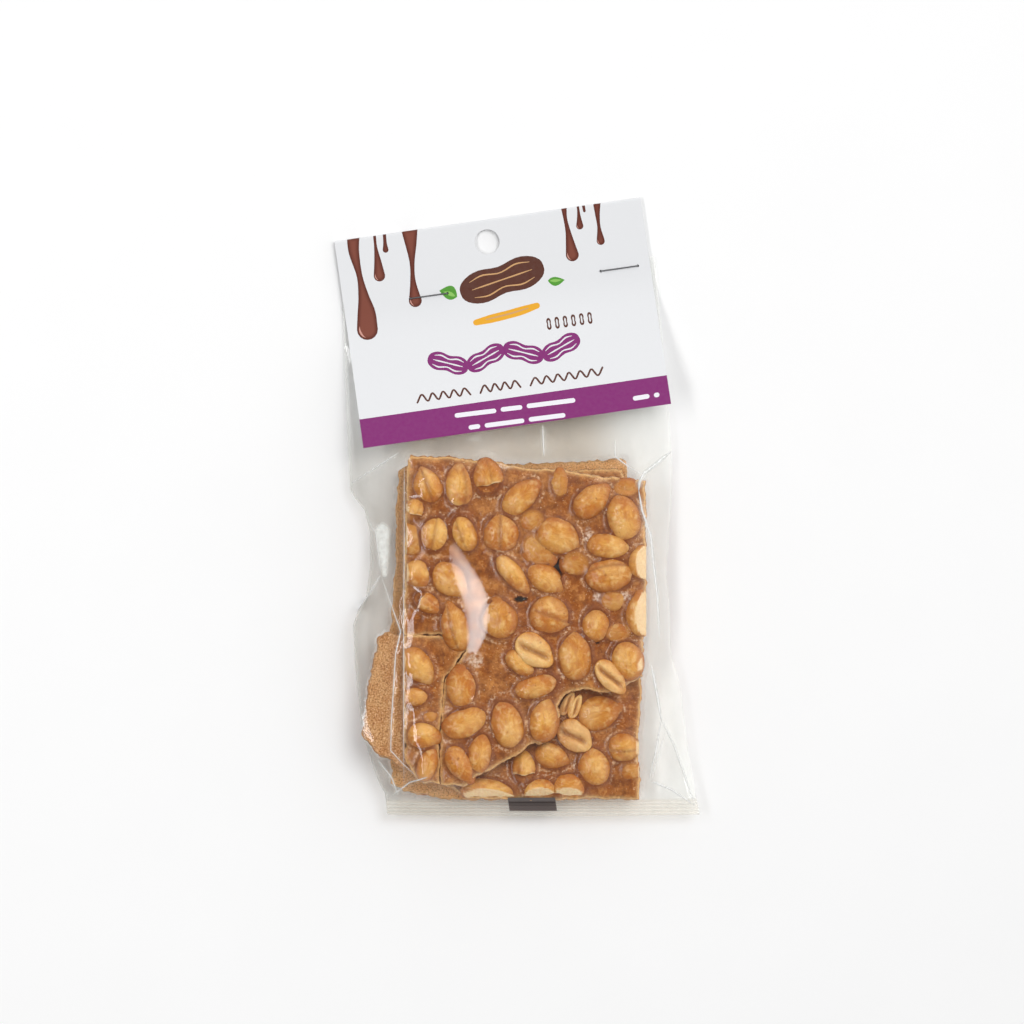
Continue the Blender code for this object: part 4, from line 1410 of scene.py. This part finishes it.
def highlight_band(x, y):
    """The slanted band of the taut film that mirrors the strip light: its height, and where it lies."""
    line = curve_through(line_from_photo(HIGHLIGHT_BAND["line"]), 40)
    distance, along = line_distance(x, y, line)
    side = np.sign(x - np.interp(y, line[::-1, 1], line[::-1, 0]))
    across = distance * side
    width = HIGHLIGHT_BAND["width"] * np.sin(math.pi * np.clip(0.04 + 0.9 * along, 0, 1)) ** 0.6
    ramp = np.clip(across + width / 2, 0, width) * HIGHLIGHT_BAND["slope"]
    beyond = np.clip(across - width / 2, 0, None)
    lift = ramp * np.exp(-((beyond / HIGHLIGHT_BAND["fall"]) ** 2))
    near = np.exp(-((distance / (0.50 * width + 0.01)) ** 4)) * (0.12 + 0.88 * smoothstep(0.0, 0.42, along))
    sheen = (2 * near - 1) * np.exp(-((distance / HIGHLIGHT_BAND["width"]) ** 4))
    distance, _ = line_distance(x, y, line_from_photo(DULL["line"]))
    return lift, sheen - np.exp(-((distance / DULL["width"]) ** 4)) * (1 + sheen)


def build_folds(film):
    """Sharp milky ridges along the film's creases: thin closed bars that sit in its front."""
    milky = film_material("film_fold", FILM_TINT, FILM_TINT, srgb(250, 250, 250), FOLD_MILK, FOLD_MILK)
    faces, points = [], []
    for _, _, half, line in CREASES:
        line = resampled_line(line_from_photo(line), FOLD_STEP)
        along = np.gradient(line, axis=0)
        along /= np.hypot(*along.T)[:, None]
        share = np.linspace(0, 1, len(line))
        half = half * (0.25 + 0.75 * np.sin(math.pi * share) ** 0.5)
        half = half * (1 + 0.3 * noise(share * 40, 0.5, 1.0, 51))
        aside = np.column_stack([-along[:, 1], along[:, 0]]) * half[:, None]
        rows = []
        for place, over in ((line + aside, -FOLD_SUNK), (line - aside, -FOLD_SUNK), (line, FOLD_RISE)):
            rows.append(np.column_stack([place, highest([film], *place.T, False) + over]))
        first = sum(len(other) for other in points)
        edges = [first + row * len(line) + np.arange(len(line)) for row in range(3)]
        for near, far in ((0, 1), (1, 2), (2, 0)):
            a, b = edges[near], edges[far]
            faces += np.stack([a[:-1], a[1:], b[1:], b[:-1]], 1).tolist()
        faces += [[int(edge[0]) for edge in edges], [int(edge[-1]) for edge in edges[::-1]]]
        points.append(np.concatenate(rows))
    settle(add_piece("film_folds", np.concatenate(points), faces, [milky]), "filled_film", "bag")


def marked_quads(x, y):
    """Which quads of the film's front lie in the dark field printed on the seal."""
    left, top = from_photo(*MARK_LEFT_TOP)
    right, bottom = from_photo(*MARK_RIGHT_BOTTOM)
    column = int(np.argmin(np.abs(x[FILM_SEAL_ROWS // 2] - (left + right) / 2)))
    row = int(np.argmin(np.abs(y[:, column] - (top + bottom) / 2)))
    level_ones = (y[:-1, column] > bottom) & (y[:-1, column] < top)
    between = (x[row, :-1] > left) & (x[row, :-1] < right)
    return (level_ones[:, None] & between[None, :]).ravel()


def film_limits(contents, x, y, down):
    """Top of the contents, and the lowest and highest levels of the front sheet and of the back one."""
    under_card = down < front_panel_reach() + FILM_EDGE_CLEAR
    ceiling = np.where(under_card, front_panel_under(down) - FILM_GAP, OPEN_AIR)
    floor = np.where(down < CARD_BACK_PANEL + FILM_EDGE_CLEAR, OVER_BACK_PANEL, 0.0)
    top = spread(np.nan_to_num(highest(contents, x, y, False), nan=0.0), np.max)
    under = spread(np.nan_to_num(highest(contents, x, y, True), nan=OPEN_AIR), np.min)
    resting = spread(spread(top, np.max, FILM_CLOSING), np.min, FILM_CLOSING)
    resting = np.maximum(spread(spread(resting, np.mean, 3), np.mean, 3), top)
    lowest = np.where(resting > 0, resting + FILM_OVER_FOOD, 0.0)
    most = np.maximum(np.where(under < OPEN_AIR, under - FILM_UNDER_FOOD, OPEN_AIR), floor)
    return top, (lowest, ceiling), (floor, most)


def creased(x, y, upper, fixed):
    """The front sheet with its creases and its crinkle, and the haze that they bring."""
    haze = np.zeros(x.shape)
    for height, width, half, line in CREASES:
        distance, along = line_distance(x, y, line_from_photo(line))
        taper = smoothstep(0.0, 0.12, along) * smoothstep(1.0, 0.88, along)
        upper = upper + np.where(fixed, 0, height * np.exp(-distance / width) * taper)
        haze = np.maximum(haze, (0.2 + half) * np.exp(-((distance / (0.33 + half)) ** 2)) * taper)
    distance, along = line_distance(x, y, line_from_photo([CRINKLE["top"], CRINKLE["bottom"]]))
    crinkle = smoothstep(CRINKLE["width"], CRINKLE["width"] * 0.4, distance + 1.6 * along)
    upper = upper + crinkle * CRINKLE["height"] * noise(x, y, 0.9, 43, 2)
    haze = np.maximum(haze, crinkle * (1.45 + 0.5 * noise(x, y, 0.8, 44)))
    return upper, haze, crinkle


def bending(level):
    """How much a sheet bends at each point."""
    around = level[:-2, 1:-1] + level[2:, 1:-1] + level[1:-1, :-2] + level[1:-1, 2:]
    curved = np.zeros(level.shape)
    curved[1:-1, 1:-1] = np.abs(around - 4 * level[1:-1, 1:-1])
    return spread(curved, np.mean)


def film_tints(x, y, over, top, seal, crimp, crinkle, haze):
    """The film's haze with that of its rim, seal and margins. Its darker tint is painted shade on its left
    margin and seal and between the card and the slabs, partly a denser fold at the left. Its warmer tint
    lies on the seal and is a painted reflection of the brittle between the card and the slabs.
    """
    rim = np.minimum(over, 1 - over) * (x[:, -1:] - x[:, :1])
    haze = np.maximum(haze, 0.5 * np.exp(-((rim / 0.8) ** 2)))
    haze = np.maximum(haze, seal * (0.35 + 0.25 * (crimp > 0.05)))
    # Painted shade: the film is tinted darker towards its left margin and most at its outer edge, partly
    # standing for a denser fold there.
    grey_and_shade = smoothstep(6.0, -30.0, x) * (1 - smoothstep(0.0, 1.0, top))
    grey_and_shade = grey_and_shade * np.where(seal, 0.5, 0.42 + 0.40 * np.exp(-((rim / 4.5) ** 2)) * smoothstep(70.0, 52.0, y))
    grey_and_shade = grey_and_shade * (1 - 0.7 * crinkle)
    grey_and_shade = grey_and_shade * smoothstep(80.0, 35.0, y)
    # Painted shade between the card's lower edge and the slabs, where the card shades the film.
    above_slabs = smoothstep(54.0, 58.0, y) * smoothstep(84.0, 66.0, y)
    grey_and_shade = np.maximum(grey_and_shade, above_slabs * 0.47 * np.exp(-(((x - 15.0) / 20.0) ** 2)))
    # Warmer on the seal, and a painted reflection of the brittle's colour in the film between the card and
    # the slabs.
    warm_and_reflection = np.maximum(seal, above_slabs * smoothstep(-44.0, -34.0, x) * smoothstep(36.0, 20.0, x))
    beside = (1 - smoothstep(0.0, 3.0, spread(top, np.mean))) * smoothstep(10.0, 44.0, x)
    haze = np.maximum(haze, MARGIN_HAZE * beside * (0.85 + 0.3 * noise(x * 1.6, y * 0.5, 9, 46, 2)))
    return haze, grey_and_shade, warm_and_reflection


def film_mesh(x, y, upper, lower):
    """Points and faces of the closed bag: its front, its back and the rim between them."""
    points = np.concatenate([np.stack([x, y, level], -1).reshape(-1, 3) for level in (upper, lower)])
    count = x.size
    numbers = np.arange(count).reshape(x.shape)
    corners = [numbers[:-1, :-1], numbers[:-1, 1:], numbers[1:, 1:], numbers[1:, :-1]]
    quads = np.stack(corners, -1).reshape(-1, 4)
    rim = np.concatenate([numbers[0, :-1], numbers[:-1, -1], numbers[-1, :0:-1], numbers[:0:-1, 0]])
    return points, np.concatenate([quads, quads[:, ::-1] + count, strip(rim, rim + count)[:, ::-1]])


def build_film(contents):
    """The bag's two sheets, draped over the slabs and under the card, with creases and crimps."""
    x, y, down, seam, over = film_plan()
    seal = np.zeros(x.shape, bool)
    seal[: FILM_SEAL_ROWS + 1] = True
    pressed = down < FILM_PRESSED_DOWN
    fixed = seal | pressed
    fixed[[0, -1], :] = True
    fixed[:, [0, -1]] = True
    middle = np.where(seal, SEAL_LEVEL, np.where(pressed, OVER_BACK_PANEL + FILM_THICK / 2, seam))
    top, (lowest, ceiling), back_limits = film_limits(contents, x, y, down)
    upper = draped(middle + FILM_THICK / 2, fixed, lowest, ceiling)
    lower = draped(middle - FILM_THICK / 2, fixed, *back_limits)
    distance, _ = line_distance(x, y, line_from_photo(TAUT["line"]))
    taut = np.exp(-((distance / TAUT["width"]) ** 4))
    upper = np.maximum(upper, upper + taut * (TAUT["level"] - upper))
    free = smoothstep(1.2, 4.0, upper - top) * smoothstep(0.0, 0.05, over) * smoothstep(1.0, 0.95, over)
    free = free * ~fixed * (1 - taut) ** 2
    ripple = 0.34 * noise(x * 1.5, y * 0.62, 7.5, 41, 3) + 0.10 * noise(x, y * 0.5, 2.2, 42, 2)
    upper, haze, crinkle = creased(x, y, upper + free * ripple, fixed)
    waves = 2 * math.pi * (y - LEFT_EDGE[0][0]) / CRIMP_PITCH + 0.6 * noise(x, y, 9, 45)
    crimp = CRIMP_DEPTH * np.sin(waves) * seal
    least = np.where(fixed, upper, np.maximum(lowest, lower + 2 * LEAST_FILM))
    upper = np.clip(upper, least, ceiling) + crimp
    lower = np.where(seal, lower + crimp * 0.8, lower)
    haze = np.maximum(haze, np.clip(bending(upper) * 0.9, 0, 0.5) * free * (top <= 0))
    haze, grey_and_shade, warm_and_reflection = film_tints(x, y, over, top, seal, crimp, crinkle, haze)
    lift, sheen = highlight_band(x, y)
    points, faces = film_mesh(x, y, upper, np.minimum(lower, upper - LEAST_FILM))
    marked = marked_quads(x, y)
    indices = np.zeros(len(faces), int)
    indices[: len(marked)] = marked
    film = film_material("film_clear", FILM_TINT, FILM_GREY_TINT, srgb(247, 249, 244), 0.012, 0.5)
    mark = film_material("film_mark", srgb(40, 34, 32), srgb(40, 34, 32), srgb(112, 102, 99), 0.7, 0.85)
    front = {"haze": haze, "lift": lift, "sheen": sheen, "grey_and_shade": grey_and_shade, "warm_and_reflection": warm_and_reflection}
    back_share = {"haze": 0.25, "lift": 0, "sheen": 0, "grey_and_shade": 1, "warm_and_reflection": 1}
    attributes = {key: np.outer([1, back_share[key]], value).ravel() for key, value in front.items()}
    item = add_piece("film_bag", points, faces.tolist(), [film, mark], indices, attributes)
    build_folds(item)
    return settle(item, "filled_film", "bag")


# Stage


def area_light(name, place, size, energy, mirrored):
    data = bpy.data.lights.new(name, "AREA")
    data.shape = "RECTANGLE"
    data.size, data.size_y = size
    data.energy = energy
    item = bpy.data.objects.new(name, data)
    item.location = place
    item.visible_glossy = mirrored
    item.rotation_euler = (Vector(LIGHT_TARGET) - Vector(place)).to_track_quat("-Z", "Y").to_euler()
    bpy.context.scene.collection.objects.link(item)


def build_stage():
    """White floor, a sky that is brighter at its edge and towards one side, and the lights."""
    made, tree = new_material("floor_white")
    grain = noise_texture(tree, 40.0, 2.0)
    colour = mixed(tree, grain, (0.93, 0.93, 0.93, 1), (0.95, 0.95, 0.95, 1))
    principled(made, tree, {"Base Color": colour, "Roughness": 0.9, "Specular IOR Level": 0.1})
    mesh = bpy.data.meshes.new("floor")
    corners = [(x * FLOOR_HALF, y * FLOOR_HALF, 0) for x, y in ((-1, -1), (1, -1), (1, 1), (-1, 1))]
    mesh.from_pydata(corners, [], [(0, 1, 2, 3)])
    mesh.materials.append(made)
    floor = bpy.data.objects.new("floor", mesh)
    bpy.context.scene.collection.objects.link(floor)
    world = bpy.data.worlds.new("studio")
    world.use_nodes = True
    tree = world.node_tree
    direction = node(tree, "ShaderNodeTexCoord").outputs["Generated"]
    height = node(tree, "ShaderNodeSeparateXYZ", {0: direction}).outputs["Z"]
    towards = node(tree, "ShaderNodeVectorMath", {0: direction, 1: WORLD_TOWARDS}, operation="DOT_PRODUCT")
    level = remap(tree, height, 0.0, 1.0, WORLD_HORIZON, WORLD_OVERHEAD)
    strength = math_node(tree, "MAXIMUM", math_node(tree, "ADD", level, towards.outputs["Value"]), 0.0)
    background = tree.nodes["Background"]
    background.inputs["Color"].default_value = (1, 1, 1, 1)
    tree.links.new(strength, background.inputs["Strength"])
    bpy.context.scene.world = world
    for light in LIGHTS:
        area_light(*light)
    bpy.context.scene.view_settings.view_transform = "Standard"
    bpy.context.scene.view_settings.look = "None"


def build_camera():
    """Straight down on the lying pack, framed as the photograph is."""
    data = bpy.data.cameras.new("camera")
    data.sensor_width = SENSOR_WIDTH
    data.sensor_fit = "HORIZONTAL"
    data.lens = SENSOR_WIDTH * CAMERA_HEIGHT / (FRAME_PIXELS * PIXEL)
    data.clip_start, data.clip_end = 0.05, 20.0
    camera = bpy.data.objects.new("camera", data)
    x, y = from_photo(MIDDLE_PIXEL, MIDDLE_PIXEL)
    camera.location = (x * MM, y * MM, (CAMERA_HEIGHT + PACK_MIDDLE_LEVEL) * MM)
    bpy.context.scene.collection.objects.link(camera)
    bpy.context.scene.camera = camera


contents = build_brittle()
build_film(contents)
build_card()
steel = steel_material()
for name in ("staple_left", "staple_right"):
    for material_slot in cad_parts[name].material_slots:
        material_slot.material = steel
build_stage()
build_camera()
